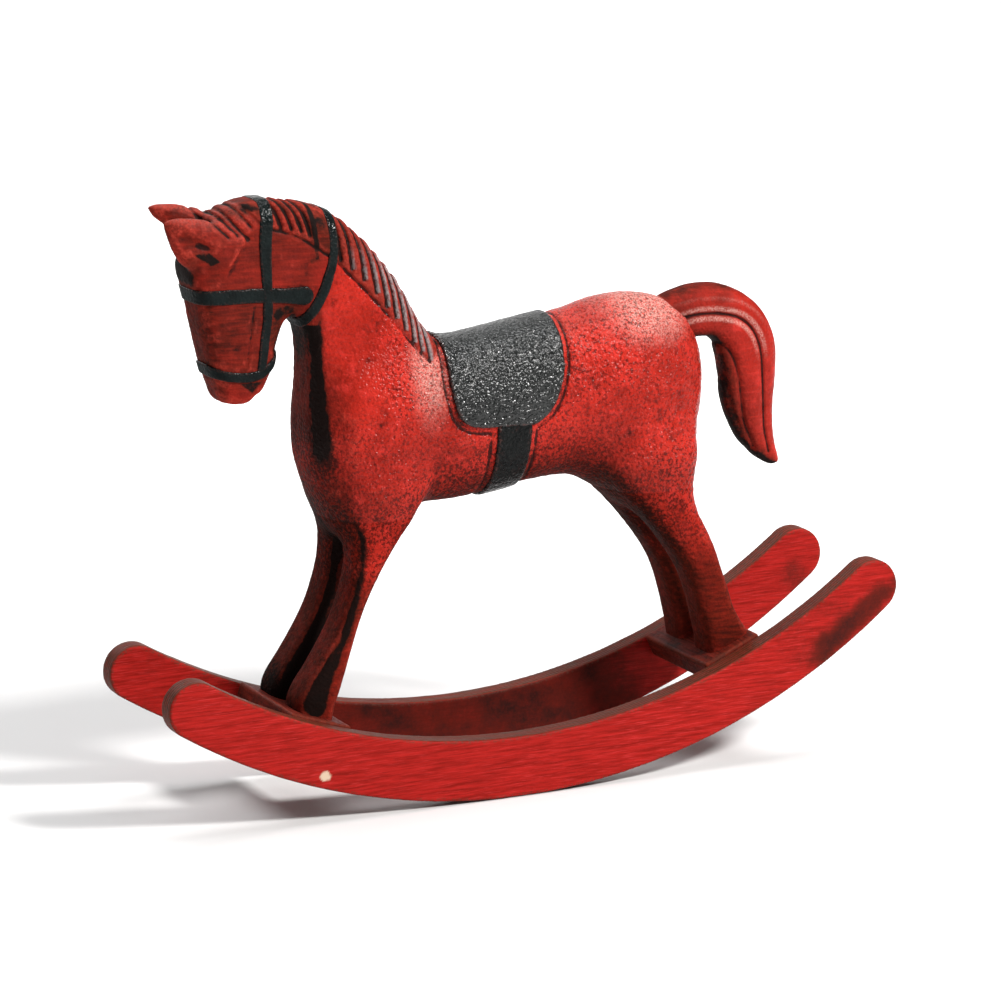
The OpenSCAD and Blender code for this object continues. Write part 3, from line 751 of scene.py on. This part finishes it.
def rocker_paint():
    """Thin crimson brushed on plywood: fine slanting strokes on the faces, brown plies on the edges."""
    k = Mat("rocker_paint_look", IOR=1.45, Specular_IOR_Level=0.06)
    edge, dark, cav, chip = k.attr("edge"), k.attr("dark"), k.attr("cav"), k.attr("chip")
    ang = math.radians(-31)
    s1 = k.noise(1, 5, 0.62, vec=k.place((55, 1000, 950), rot=(0, ang, 0)), distort=0.15)
    s2 = k.noise(1, 3, 0.55, vec=k.place((120, 1000, 2400), rot=(0, ang - 0.1, 0), loc=(9, 3, 4)))
    big, mid = k.noise(0.022, 3, 0.5, shift=1), k.noise(0.11, 4, 0.6, shift=6)
    fine = k.noise(0.9, 3, 0.6, shift=9)
    col = k.mix(k.ramp(s1, 0.32, 0.66), CRIMSON_DEEP, CRIMSON)
    col = k.mix(k.math("MULTIPLY", k.ramp(s2, 0.50, 0.74), k.ramp(big, 0.3, 0.7, 0.35, 0.85), clamp=True), col, CRIMSON_PINK)
    col = k.mix(k.ramp(s2, 0.42, 0.28, 0, 0.38), col, (0.10, 0.012, 0.010))
    # plies
    y = k.node("ShaderNodeSeparateXYZ")
    k.t.links.new(k.co, y.inputs[0])
    ply = k.math("SINE", k.math("MULTIPLY_ADD", k.math("ABSOLUTE", y.outputs["Y"]), 1000 * 2 * math.pi / 1.5, k.math("MULTIPLY", mid, 2.0)))
    plies = k.mix(k.ramp(ply, -0.2, 0.75), (0.060, 0.017, 0.008), (0.115, 0.024, 0.011))
    plies = k.mix(k.ramp(s1, 0.42, 0.70, 0, 0.55), plies, (0.24, 0.028, 0.020))
    plies = k.mix(k.ramp(fine, 0.58, 0.74, 0, 0.7), plies, (0.020, 0.010, 0.008))
    col = k.mix(edge, col, plies)
    # smudges in the paint, and painted shade where the dark value marks the inner faces
    smudge_and_shade = k.math("ADD", k.math("MULTIPLY_ADD", mid, 0.7, -0.40), k.math("ADD", dark, k.math("MULTIPLY_ADD", fine, 0.35, -0.18)), clamp=True)
    col = k.mix(k.ramp(smudge_and_shade, 0.05, 0.70, 0, 0.92), col, (0.085, 0.010, 0.006))
    col = k.mix(k.ramp(smudge_and_shade, 0.62, 1.05, 0, 0.85), col, (0.012, 0.008, 0.007))
    col = k.mix(k.math("MULTIPLY", k.ramp(cav, 0.06, 0.2), k.ramp(fine, 0.45, 0.62, 0, 0.55), clamp=True), col, (0.11, 0.035, 0.022))
    col = k.mix(chip, col, (0.66, 0.50, 0.36))
    n1 = k.bump(s2, 0.12, 0.7)
    n2 = k.bump(k.math("MULTIPLY", ply, edge), 0.05, 0.6, after=n1)
    n3 = k.bump(k.noise(0.8, 0, 0.5, shift=9), 0.12, 0.6, after=n2)
    rough = k.ramp(s1, 0.3, 0.7, 0.42, 0.58)
    return k.done(col, rough, n3)


def board_paint():
    k = Mat("board_paint_look", IOR=1.45, Specular_IOR_Level=0.06)
    cav = k.attr("cav")
    g = k.noise(1, 4, 0.6, vec=k.place((900, 60, 900)))
    mid, fine = k.noise(0.12, 4, 0.6, shift=6), k.noise(0.9, 4, 0.65, shift=9)
    col = k.mix(k.ramp(g, 0.35, 0.65), (0.075, 0.010, 0.006), (0.17, 0.018, 0.010))
    col = k.mix(k.ramp(mid, 0.48, 0.68, 0, 0.8), col, (0.040, 0.012, 0.009))
    col = k.mix(k.ramp(fine, 0.56, 0.72, 0, 0.8), col, (0.013, 0.009, 0.008))
    col = k.mix(k.ramp(cav, 0.05, 0.2, 0, 0.22), col, (0.22, 0.045, 0.022))
    n1 = k.bump(g, 0.10, 0.6)
    n2 = k.bump(fine, 0.14, 0.6, after=n1)
    return k.done(col, k.ramp(fine, 0.3, 0.7, 0.45, 0.7), n2)


def bare_wood():
    k = Mat("bare_beech", IOR=1.45)
    g = k.noise(1, 5, 0.6, vec=k.place((900, 900, 60)))
    fine = k.noise(1.6, 3, 0.6, shift=3)
    col = k.mix(k.ramp(g, 0.3, 0.7), (0.42, 0.27, 0.15), (0.60, 0.43, 0.27))
    col = k.mix(k.ramp(fine, 0.6, 0.75, 0, 0.5), col, (0.30, 0.18, 0.09))
    return k.done(col, k.ramp(g, 0.3, 0.7, 0.55, 0.75), k.bump(g, 0.06, 0.6))


def steel():
    k = Mat("zinced_steel", Metallic=1.0)
    g, fine = k.noise(0.5, 4, 0.6), k.noise(2.5, 3, 0.6, shift=2)
    col = k.mix(k.ramp(g, 0.35, 0.7), (0.42, 0.41, 0.38), (0.60, 0.59, 0.55))
    col = k.mix(k.ramp(fine, 0.62, 0.75, 0, 0.6), col, (0.20, 0.13, 0.09))
    return k.done(col, k.ramp(fine, 0.3, 0.7, 0.28, 0.5), k.bump(fine, 0.03, 0.6))


def pale_floor():
    k = Mat("pale_floor", Specular_IOR_Level=0.1)
    n = k.noise(0.01, 3, 0.5)
    return k.done(k.mix(k.ramp(n, 0.3, 0.7), (0.77, 0.77, 0.77), (0.79, 0.79, 0.79)), k.ramp(n, 0.3, 0.7, 0.88, 0.95), k.bump(n, 0.05, 0.1))


RED = (0.50, 0.024, 0.015)
RED_DEEP = (0.30, 0.014, 0.008)
RED_PINK = (0.64, 0.036, 0.028)
RED_WORN = (0.54, 0.055, 0.036)
BRICK = (0.150, 0.0125, 0.006)
BRICK_DARK = (0.055, 0.007, 0.004)
BROWN = (0.060, 0.011, 0.005)
BLACK = (0.0045, 0.004, 0.0035)
CRIMSON = (0.42, 0.015, 0.012)
CRIMSON_DEEP = (0.23, 0.008, 0.005)
CRIMSON_PINK = (0.60, 0.040, 0.040)

M_WOOD = painted_wood("painted_wood_body", 0.11)
M_HEAD = painted_wood("painted_wood_head", 0.08)
M_LEG = painted_wood("painted_wood_leg", 0.03)
M_TAIL = painted_wood("painted_wood_tail", 0.10)
M_SADDLE = black_paint("saddle_paint_look", 1.0)
M_GIRTH = black_paint("girth_paint_look", 0.7, level=0.10)
M_STRAP = black_paint("strap_paint_look", 0.3, base=(0.003, 0.005, 0.005), grey=(0.012, 0.016, 0.015), level=0.12, rough=(0.13, 0.30))
M_ROCKER = rocker_paint()
M_BOARD = board_paint()
M_BARE = bare_wood()
M_STEEL = steel()


def finish_piece(ob, node, mat):
    ob.data.materials.clear()
    ob.data.materials.append(mat)
    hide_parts(node)
    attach(ob, "root")
    return ob


# ------------------------------------------------------------------ the carved horse
H = 0.62
G = Grid((-132, -25, 30), (111, 25, 235), H)
F = trunk(G, ("barrel", "head", "ears", "fl", "fr", "hl", "hr"))
F0 = F
F = carve(G, F)
F = ear_cut(G, F)
CAV = blur(F, 7)


def trunk_grit(P, N):
    k = fbm(P, 1.9, 3, 2) * 0.15 + fbm(P, 5.0, 6, 2) * 0.14
    legs = step(100, 70, P[:, 2])
    return k * (1 - 0.6 * legs)


horse = mesh_from("horse_whole", G, F, trunk_grit)
P, N = coords(horse), normals(horse)
cav = sample(G, CAV, P) * 1.0
X, Y, Z = P[:, 0], np.abs(P[:, 1]), P[:, 2]
n_big, n_mid = fbm(P, 22, 11), fbm(P, 7, 12)
AX = np.abs(N[:, 0])
side_y = np.abs(N[:, 1])
# how far toward the brown-red paint, not bright red: head, mane and crest, low legs; undersides and faces turned to the
# front get it too, as painted shade
headness = step(-62, -80, X + (Z - 190) * -0.3) * step(148, 166, Z)
above = area_dist(X, Z, np.vstack([MANE_LOW[::-1], CREST]))
mane = step(0.8, -0.6, above)
low = step(100, 64, Z)
brick_and_shade = 0.9 * headness + 0.8 * mane + 0.7 * low + 0.25 * n_big + 0.45 * step(0.1, -0.7, N[:, 2]) * step(170, 120, Z)
brick_and_shade = brick_and_shade + 0.22 * step(140, 104, Z) + 0.6 * step(-0.3, -0.8, N[:, 0]) * (Z < 192)
dark = 0.45 * step(0.1, -0.8, N[:, 2]) * step(160, 120, Z)                             # painted shade on undersides
dark = dark + 0.14 * step(128, 106, Z) + 0.06 * step(90, 56, Z) + 0.10 * step(50, 36, Z)   # low body and legs
fl = (X < -20) * step(122, 108, Z)
run = [(-60.5, 108), (-57.6, 102), (-57.4, 92), (-60.4, 79.5), (-65.6, 64.6), (-71.4, 54), (-75.5, 46), (-77, 41)]
stripe = step(1.0, -1.0, line_dist(X, Z, run, [0.3, 1.0, 1.4, 1.5, 1.7, 2.6, 3.6, 4.2]) + 0.9 * n_mid) * step(0.3, 0.8, side_y)
# inner_side: leg faces turned toward the other leg of the pair. Below, the front legs get a dark stroke down the side,
# which is paint, and painted shade on their fronts and inner sides
inner_side = step(0.6, 0.95, side_y) * step(0, 1, np.sign(P[:, 1] * N[:, 1]) * -1)
dark = dark + fl * (0.8 * stripe + 0.02 * step(-0.2, -0.8, N[:, 0]) + 0.40 * inner_side)
hl = (X > 30) * step(112, 92, Z)
# painted shade: the far front leg, the legs' front faces, and the hind legs' front faces and inner sides
dark = dark + fl * (0.22 * (P[:, 1] > 0) + 0.30 * step(62, 44, Z) * step(0.1, -0.5, N[:, 0]) + 0.14 * step(-0.4, -0.9, N[:, 0]))
dark = dark + hl * (0.22 * step(-0.35, -0.85, N[:, 0]) + 0.45 * inner_side)
dark = dark + hl * 0.4 * step(0.45, 0.95, N[:, 0]) * step(70, 44, Z)
# the black stroke down the neck's front corners, partly paint and partly painted shade on the rounding, and painted
# shade on the scratched front between them
nz = step(120, 142, Z) * step(198, 184, Z) * (X < -50)
front_x = np.interp(Z, [111, 118, 133, 141, 176, 190], [-65.5, -67.5, -72, -73.1, -73.4, -75])
u_ = X - front_x + 0.7 * n_mid
nz = nz * (1 - step(-74, -77.5, X)) * np.where(Z > 181, step(-73.5, -70, X), 1)
dark = dark + nz * (0.95 * step(5.4, 3.0, u_) * step(0.25, 0.5, side_y) + 0.72 * step(-0.5, -0.9, N[:, 0]) * step(-1.2, -0.1, n_mid))
dark = dark + mane * (0.30 + 0.20 * step(-0.3, 0.5, n_mid))
# smears round the bridle, ears and nose
def blot(cx_, cz_, r0, r1, kx=1.0, kz=1.0):
    return step(r0, r1, np.hypot((X - cx_) * kx, (Z - cz_) * kz) + 1.2 * n_mid)
dark = dark + 0.7 * blot(-99, 222.5, 8, 3, 0.7, 1.2) * step(0.2, 0.7, N[:, 2]) + 0.6 * blot(-119.5, 204, 5, 2, 1, 0.6)
dark = dark + 0.75 * blot(-86.6, 178, 4.5, 1.6, 1.0, 0.32) + 0.6 * blot(-83, 187.5, 4.5, 2, 0.6, 1.2)
dark = dark + 0.85 * step(0.4, -0.8, area_dist(X, Z, [(-103, 162.6), (-96.3, 157.4), (-91.4, 162.6)]))
dark = dark + 0.8 * step(0.7, -0.4, line_dist(X, Z, [(-73.4, 225), (-72.0, 214), (-71.4, 206.4), (-73.4, 205.2)]) - 0.8)
# painted shade on the front of the head and on its back edges by the neck
dark = dark + 0.42 * headness * step(-0.7, -0.95, N[:, 0]) + 0.30 * headness * step(0.55, 0.95, N[:, 0])
dark = dark + 0.35 * headness * step(0.0, 0.6, n_mid)
# ears a little darker all over; painted shade in each ear's hollow and a painted shadow under the lower lobe
ear = step(-104, -109, X) * step(206, 210, Z)
hollow = step(0.6, -1.2, area_dist(X, Z, [(-126, 218.2), (-120, 217.4), (-115, 213.4), (-121, 212.4)]))
dark = dark + 0.12 * ear + 0.22 * hollow + 0.85 * step(0.8, -0.4, area_dist(X, Z, [(-119, 211), (-114, 211.6), (-109.6, 207.6), (-113, 206.4)]) + 0.4 * n_mid) * step(0.3, 0.7, side_y)
dark = dark + 0.10 * step(0.1, 0.8, n_big)
rim = np.minimum(area_dist(X, Z, PAD), line_dist(X, Z, GIRTH) - 7.1)
dark = dark + 0.35 * step(3.6, 1.6, rim) * step(-0.3, 0.5, n_mid) + 0.35 * step(5, 1, rim) * (X < -18)
# painted sheen on the withers by the saddle, on the rump top and on faces turned up
pale = 0.95 * step(10, 1, np.hypot((X + 30) * 0.9, (Z - 160) * 0.42) + 1.5 * n_mid)
pale = pale + 0.95 * step(22, 4, np.hypot((X - 66) * 0.8, (Z - 178) * 1.15) + 3 * n_mid) + 0.12 * step(0.2, 0.9, N[:, 2])
# painted glint: a grey stroke along one side of each lower mane cut
painted_glint = 0
for c in GROOVES[5:]:
    painted_glint = painted_glint + step(0.62, 0.22, np.abs(line_dist(X, Z, c + [0.95, 0.3]))) * (side_y > 0.4)
attribute(horse, "painted_glint", np.clip(painted_glint * mane * step(212, 198, Z), 0, 1) * 0.85)
attribute(horse, "cav", cav)
attribute(horse, "dark", np.clip(dark, 0, 1.2))
attribute(horse, "brick_and_shade", np.clip(brick_and_shade, 0, 1))
attribute(horse, "pale", np.clip(pale * (1 - mane), 0, 1))
front = step(-0.25, -0.75, N[:, 0])
under = step(0.0, -0.55, N[:, 2])
smooth_neck = step(-38, -56, X) * step(138, 152, Z)
attribute(horse, "gloss", np.clip(1 - 0.97 * front - under - 0.55 * low - 0.62 * headness - 0.45 * mane - 0.3 * step(140, 112, Z), 0.03, 1))
attribute(horse, "grit", np.clip(1 - 0.75 * headness - 0.7 * low - 0.6 * mane - 0.55 * smooth_neck, 0.1, 1))

neck = ((NECK_A[0], 0, NECK_A[1]), NECK_N)
neck_up = (neck[0], tuple(-v for v in NECK_N))
LEG = (0, 0, LEG_Z)
PIECES = [
    ("carved_body", "body", "body_paint", [neck, (LEG, (0, 0, -1))]),
    ("carved_head_and_neck", "head_and_neck", "head_paint", [neck_up]),
    ("carved_leg_front_left", "leg_front_left", "leg_paint", [(LEG, (0, 0, 1)), ((0, 0, 0), (1, 0, 0)), ((0, 0, 0), (0, 1, 0))]),
    ("carved_leg_front_right", "leg_front_right", "leg_paint", [(LEG, (0, 0, 1)), ((0, 0, 0), (1, 0, 0)), ((0, 0, 0), (0, -1, 0))]),
    ("carved_leg_hind_left", "leg_hind_left", "leg_paint", [(LEG, (0, 0, 1)), ((0, 0, 0), (-1, 0, 0)), ((0, 0, 0), (0, 1, 0))]),
    ("carved_leg_hind_right", "leg_hind_right", "leg_paint", [(LEG, (0, 0, 1)), ((0, 0, 0), (-1, 0, 0)), ((0, 0, 0), (0, -1, 0))]),
]
for name, node, slot, cuts in PIECES:
    extra = []
    if "leg_front" in node:
        extra = [((CX + 0, 0, board_z(FRONT_A, CX)), (math.sin(math.radians(FRONT_A)), 0, -math.cos(math.radians(FRONT_A))))]
    if "leg_hind" in node:
        extra = [((CX + 0, 0, board_z(REAR_A, CX)), (math.sin(math.radians(REAR_A)), 0, -math.cos(math.radians(REAR_A))))]
    finish_piece(part_of(horse, name, cuts + extra), node, {"body_paint": M_WOOD, "head_paint": M_HEAD}.get(slot, M_LEG))
bpy.data.objects.remove(horse)

# ------------------------------------------------------------------ tail
GT = Grid((70, -11, 104), (131, 11, 188), 0.5)
T = solid(GT, loft(TAIL, 8, 64), 5)
for c, d, w, e in ((TAIL_CUT1, 0.85, 0.65, 0.75), (TAIL_CUT2, 0.65, 0.8, 0.6), (TAIL_CUT3, 0.4, 0.7, 0.3)):
    r = line_dist(GT.PX, GT.PZ, c)
    T = T + GT.flat(d * np.exp(-(r / w) ** 2) + e * np.exp(-(r / 2.6) ** 2))
TC = blur(T, 5)
tail = mesh_from("carved_tail", GT, T, lambda P, N: fbm(P, 3.0, 8, 2) * 0.10)
P, N = coords(tail), normals(tail)
attribute(tail, "cav", sample(GT, TC, P) * 0.75)
inner_edge = np.interp(P[:, 2], [109, 121, 137, 151, 161], [121, 108.6, 101.8, 100, 96])
attribute(tail, "grit", np.full(len(P), 0.3))
flute = line_dist(P[:, 0], P[:, 2], TAIL_CUT1)
# painted highlight along the flutes beside the main cut
attribute(tail, "pale", np.clip(0.8 * step(1.4, 0.3, np.abs(flute - 1.9)) * step(150, 164, P[:, 2]) + 0.35 * step(1.3, 0.2, np.abs(flute - 5.6)) * step(160, 170, P[:, 2]) * step(0.1, 0.5, N[:, 2]), 0, 1))
attribute(tail, "painted_glint", np.zeros(len(P)))
attribute(tail, "gloss", np.clip(0.7 - 0.7 * step(0.0, -0.5, N[:, 2]) - 0.7 * step(10, 3, P[:, 0] - inner_edge), 0.03, 1))
# painted shade on the undersides and on the inner edge that faces the rump; browner on top, darker toward the root and
# the tip
attribute(tail, "brick_and_shade", np.clip(0.10 + 0.3 * fbm(P, 14, 21) + 0.5 * step(0.45, 0.9, N[:, 2]) + 0.5 * step(11, 3, P[:, 0] - inner_edge), 0, 1))
attribute(tail, "dark", np.clip(0.05 + 0.25 * fbm(P, 9, 22) + 0.5 * step(-0.3, -0.8, N[:, 2]) + 0.3 * step(118, 106, P[:, 2]) + 0.80 * step(8.5, 0, P[:, 0] - inner_edge + 1.6 * fbm(P, 3, 26, 2)) * step(166, 158, P[:, 2]) + 0.45 * step(92, 82, P[:, 0]), 0, 1.1))
finish_piece(tail, "tail", M_TAIL)

# ------------------------------------------------------------------ saddle, girth and bridle: raised skins on the wood
def skin_piece(name, node, mat, outline, thick, lo, hi, h, edge=0.7, grit=0.06, seed=0):
    g = Grid(lo, hi, h)
    px, pz = g.PX, g.PZ
    i0 = [np.searchsorted(G.x.ravel(), g.x.ravel()), np.searchsorted(G.y.ravel(), g.y.ravel()), np.searchsorted(G.z.ravel(), g.z.ravel())]
    # the wood's field on this finer grid
    xs, ys, zs = np.meshgrid(g.x.ravel(), g.y.ravel(), g.z.ravel(), indexing="ij")
    f = sample(G, F0, np.stack([xs.ravel(), ys.ravel(), zs.ravel()], -1)).reshape(xs.shape).astype(np.float32)
    s = shell(g, f, outline(px, pz), thick, edge)
    c = blur(s, 5)
    ob = mesh_from(name, g, s, lambda P, N: fbm(P, 1.8, 30 + seed, 2) * grit)
    attribute(ob, "cav", sample(g, c, coords(ob)))
    n = normals(ob)
    attribute(ob, "gloss", np.clip(0.22 + 0.8 * step(-0.05, 0.45, n[:, 2]) - 0.2 * step(-0.3, -0.8, n[:, 0]), 0.05, 1))
    return finish_piece(ob, node, mat)


hs = 0.5
skin_piece("saddle_pad", "saddle", M_SADDLE, lambda px, pz: area_dist(px, pz, PAD), 1.35,
           (-25, -25, 134), (30, 25, 180), hs, 1.0, 0.16, seed=1)
skin_piece("girth_band", "girth_strap", M_GIRTH, lambda px, pz: line_dist(px, pz, GIRTH) - 7.1, 0.95,
           (-7, -25, 105), (14, 25, 141), hs, 0.7, 0.13, seed=2)
skin_piece("crown_band", "crown_strap", M_STRAP, lambda px, pz: line_dist(px, pz, CROWN, CROWN_W), 0.62,
           (-98, -16, 160), (-84, 16, 231), 0.38, 0.6, seed=3)
skin_piece("brow_band_skin", "brow_band", M_STRAP, lambda px, pz: line_dist(px, pz, BROW, BROW_W), 0.6,
           (-121, -16, 186), (-71, 16, 202), 0.38, 0.6, seed=4)
skin_piece("nose_band", "noseband", M_STRAP, lambda px, pz: line_dist(px, pz, NOSE) - 1.9, 0.7,
           (-119, -16, 158), (-82, 16, 178), 0.38, 0.6, seed=5)
skin_piece("throat_band", "throat_latch", M_STRAP, lambda px, pz: line_dist(px, pz, THROAT, THROAT_W), 0.65,
           (-82, -17, 176), (-60, 17, 230), 0.38, 0.6, seed=6)

# ------------------------------------------------------------------ rockers
def rocker(name, node, side):
    g = Grid((-143, 23.5, -1.5), (165, 35.5, 112), 0.55)
    px, pz = g.PX, g.PZ
    a = math.radians(TILT)
    # in the rocker's own frame, where its middle is lowest
    ux = px * math.cos(a) + (pz - RR) * math.sin(a)
    uz = -px * math.sin(a) + (pz - RR) * math.cos(a)
    ha = math.radians(HALF_A)
    up_h = -TAPER * math.cos(ha) + math.sqrt(TOP_R ** 2 - (TAPER * math.sin(ha)) ** 2)
    er, ed = (RR + 0.15 - up_h) / 2, (RR + 0.15 + up_h) / 2
    d = np.maximum(np.hypot(ux, uz) - RR - 0.15, TOP_R - np.hypot(ux, uz - TAPER))
    for s in (-1, 1):     # stop at the rays through the ends
        no = np.array([s * math.cos(ha), math.sin(ha)])
        d = np.maximum(d, ux * no[0] + uz * no[1])
    for s in (-1, 1):
        cxe, cze = s * ed * math.sin(ha), -ed * math.cos(ha)
        d = np.minimum(d, np.hypot(ux - cxe, uz - cze) - er)
    d = np.maximum(d, -pz)
    r = 0.9
    yy = np.abs(g.y - 29.5) - 4.5
    q1, q2 = g.flat(d) + r, yy + r
    f = np.minimum(np.maximum(q1, q2), 0) + np.hypot(np.maximum(q1, 0), np.maximum(q2, 0)) - r
    c = blur(f.astype(np.float32), 4)
    ob = mesh_from(name, g, f.astype(np.float32), lambda P, N: (fbm(P, 9, 40, 2) * 0.10 + fbm(P, 1.6, 41, 2) * 0.04) * step(0.4, 2.0, P[:, 2]))
    if side < 0:
        me = ob.data
        me.transform(Matrix.Scale(-1, 4, (0, 1, 0)))
        me.flip_normals()
        me.update()
    P, N = coords(ob), normals(ob)
    Pm = P * [1, -1 if side < 0 else 1, 1]
    attribute(ob, "cav", sample(g, c, Pm))
    attribute(ob, "edge", step(0.75, 0.35, np.abs(N[:, 1])))
    inner = step(0.3, 0.8, -N[:, 1] * side)
    n = fbm(P, 26, 50 + side, 3)
    n2 = fbm(P, 10, 60 + side, 3)
    dk = 0.10 * step(0.2, 0.8, n)
    mid = step(95, 40, np.abs(P[:, 0] - 5))
    # inner faces, turned toward the other rocker under the horse, are darkened as painted shade; the rest are smears in
    # the paint
    if side > 0:
        dk = dk + inner * (0.62 * mid + 0.20 + 0.25 * n2) * step(132, 105, np.abs(P[:, 0] + 4)) + inner * 0.15 * (P[:, 0] < -118)
        dk = dk + (1 - inner) * 0.4 * step(0.0, 0.8, n2)
        dk = dk + inner * 0.5 * step(12, 2, np.hypot(P[:, 0] - 151, P[:, 2] - 56) + 4 * n2)
    else:
        dk = dk + inner * (0.45 + 0.3 * n2)
        sm = np.hypot((P[:, 0] - 134) * 0.6, P[:, 2] - 50)
        dk = dk + (1 - inner) * (0.60 * step(9, 1, np.abs((P[:, 2] - 52) - 0.75 * (P[:, 0] - 143)) + 5 * n2) * step(120, 132, P[:, 0]) + 0.28 * step(26, 8, sm))
    dk = dk + 0.25 * step(0.6, 0.2, np.abs(N[:, 1])) * step(-0.2, 0.6, n2)
    attribute(ob, "dark", np.clip(dk, 0, 1.1))
    ch = np.zeros(len(P))
    if side < 0:
        e = np.hypot((P[:, 0] + 79.4) * 0.8, (P[:, 2] - 18.0)) + 0.9 * fbm(P, 1.6, 77, 2)
        ch = step(1.9, 1.3, e) * (N[:, 1] < -0.5)
    attribute(ob, "chip", ch)
    return finish_piece(ob, node, M_ROCKER)


rocker("rocker_near", "rocker_left", -1)
rocker("rocker_far", "rocker_right", 1)


# ------------------------------------------------------------------ cross boards
def board(name, node, ang, hoof_x):
    a = math.radians(ang)
    mid = np.array([CX + (BOARD_R + 4.5) * math.sin(a), 0, CZ - (BOARD_R + 4.5) * math.cos(a)])
    lo = mid - [17, 26.4, 14]
    g = Grid(lo, mid + [17, 26.4, 14], 0.5)
    ca, sa = math.cos(a), math.sin(a)
    dx, dz = g.PX - mid[0], g.PZ - mid[2]
    u, w = dx * ca + dz * sa, -dx * sa + dz * ca
    r = 0.8
    q1, q2, q3 = g.flat(np.abs(u) - 12.5 + r), np.abs(g.y) - 25 + 0.15 + r, g.flat(np.abs(w) - 4.5 + r)
    q1, q2, q3 = np.broadcast_arrays(q1, q2, q3)
    f = np.sqrt(np.maximum(q1, 0) ** 2 + np.maximum(q2, 0) ** 2 + np.maximum(q3, 0) ** 2) + np.minimum(np.maximum(np.maximum(q1, q2), q3), 0) - r
    z_up = board_z(ang, hoof_x)
    sx, sz = hoof_x + 9 * sa, z_up - 9 * ca       # where the screw heads sit
    su = (sx - mid[0]) * ca + (sz - mid[2]) * sa
    for s in (-1, 1):
        rad = np.sqrt((g.flat(u) - su) ** 2 + (g.y - s * 12) ** 2)
        cone = (rad - 3.62 + (g.flat(w) + 4.5) * 0.73) * 0.8
        cone = np.maximum(cone, g.flat(w) + 4.5 - 2.5)
        f = np.maximum(f, -cone)
    f = f.astype(np.float32)
    c = blur(f, 4)
    ob = mesh_from(name, g, f, lambda P, N: fbm(P, 6, 90, 2) * 0.08)
    attribute(ob, "cav", sample(g, c, coords(ob)))
    return finish_piece(ob, node, M_BOARD)


board("board_front", "cross_board_front", FRONT_A, -76.2)
board("board_rear", "cross_board_rear", REAR_A, 96.2)

# ------------------------------------------------------------------ pegs, screws and nails stay as they are, in wood and steel
for nm, mat in (("neck_dowels", M_BARE), ("leg_dowels", M_BARE), ("tail_dowel", M_BARE), ("hoof_screws", M_STEEL), ("rocker_nails", M_STEEL)):
    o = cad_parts[nm]
    o.data.materials.clear()
    o.data.materials.append(mat)

# ------------------------------------------------------------------ floor and light
def backdrop():
    prof = [(-3.0, 0.0), (1.2, 0.0)]
    for k in range(1, 13):
        t = math.pi / 2 * k / 12
        prof.append((1.2 + 0.8 * math.sin(t), 0.8 - 0.8 * math.cos(t)))
    prof.append((2.0, 4.0))
    vs, fs = [], []
    for i, (y, z) in enumerate(prof):
        for x in (-5.0, 5.0):
            vs.append((x, y, z - 0.0003))
        if i:
            k = 2 * i
            fs.append((k - 2, k - 1, k + 1, k))
    me = bpy.data.meshes.new("backdrop")
    me.from_pydata(vs, [], fs)
    for p in me.polygons:
        p.use_smooth = True
    ob = bpy.data.objects.new("backdrop", me)
    bpy.context.scene.collection.objects.link(ob)
    me.materials.append(pale_floor())


backdrop()


def area(name, at, aim, size, power, colour=(1, 1, 1)):
    d = bpy.data.lights.new(name, "AREA")
    d.shape = "DISK"
    d.size = size
    d.energy = power
    d.color = colour
    o = bpy.data.objects.new(name, d)
    bpy.context.scene.collection.objects.link(o)
    o.location = at
    o.rotation_euler = (Vector(aim) - Vector(at)).to_track_quat("-Z", "Y").to_euler()
    return o


area("key", (0.85, -1.15, 1.30), (0, 0, 0.11), 0.30, 42, (1.0, 0.985, 0.965))
area("wall_wash", (0.5, 0.5, 0.9), (0.9, 1.9, 0.15), 0.8, 18)
area("top", (0.05, 0.1, 1.6), (0, 0, 0.1), 1.0, 17)
area("fill_left", (-1.5, -0.7, 0.7), (0, 0, 0.1), 1.0, 1.2)
area("rim_back", (-0.3, 1.3, 0.9), (0, 0, 0.15), 0.8, 5)
world = bpy.data.worlds.new("studio")
bpy.context.scene.world = world
world.use_nodes = True
world.node_tree.nodes["Background"].inputs[0].default_value = (1, 1, 1, 1)
world.node_tree.nodes["Background"].inputs[1].default_value = 0.14
bpy.context.scene.view_settings.view_transform = "Standard"
bpy.context.scene.view_settings.look = "None"
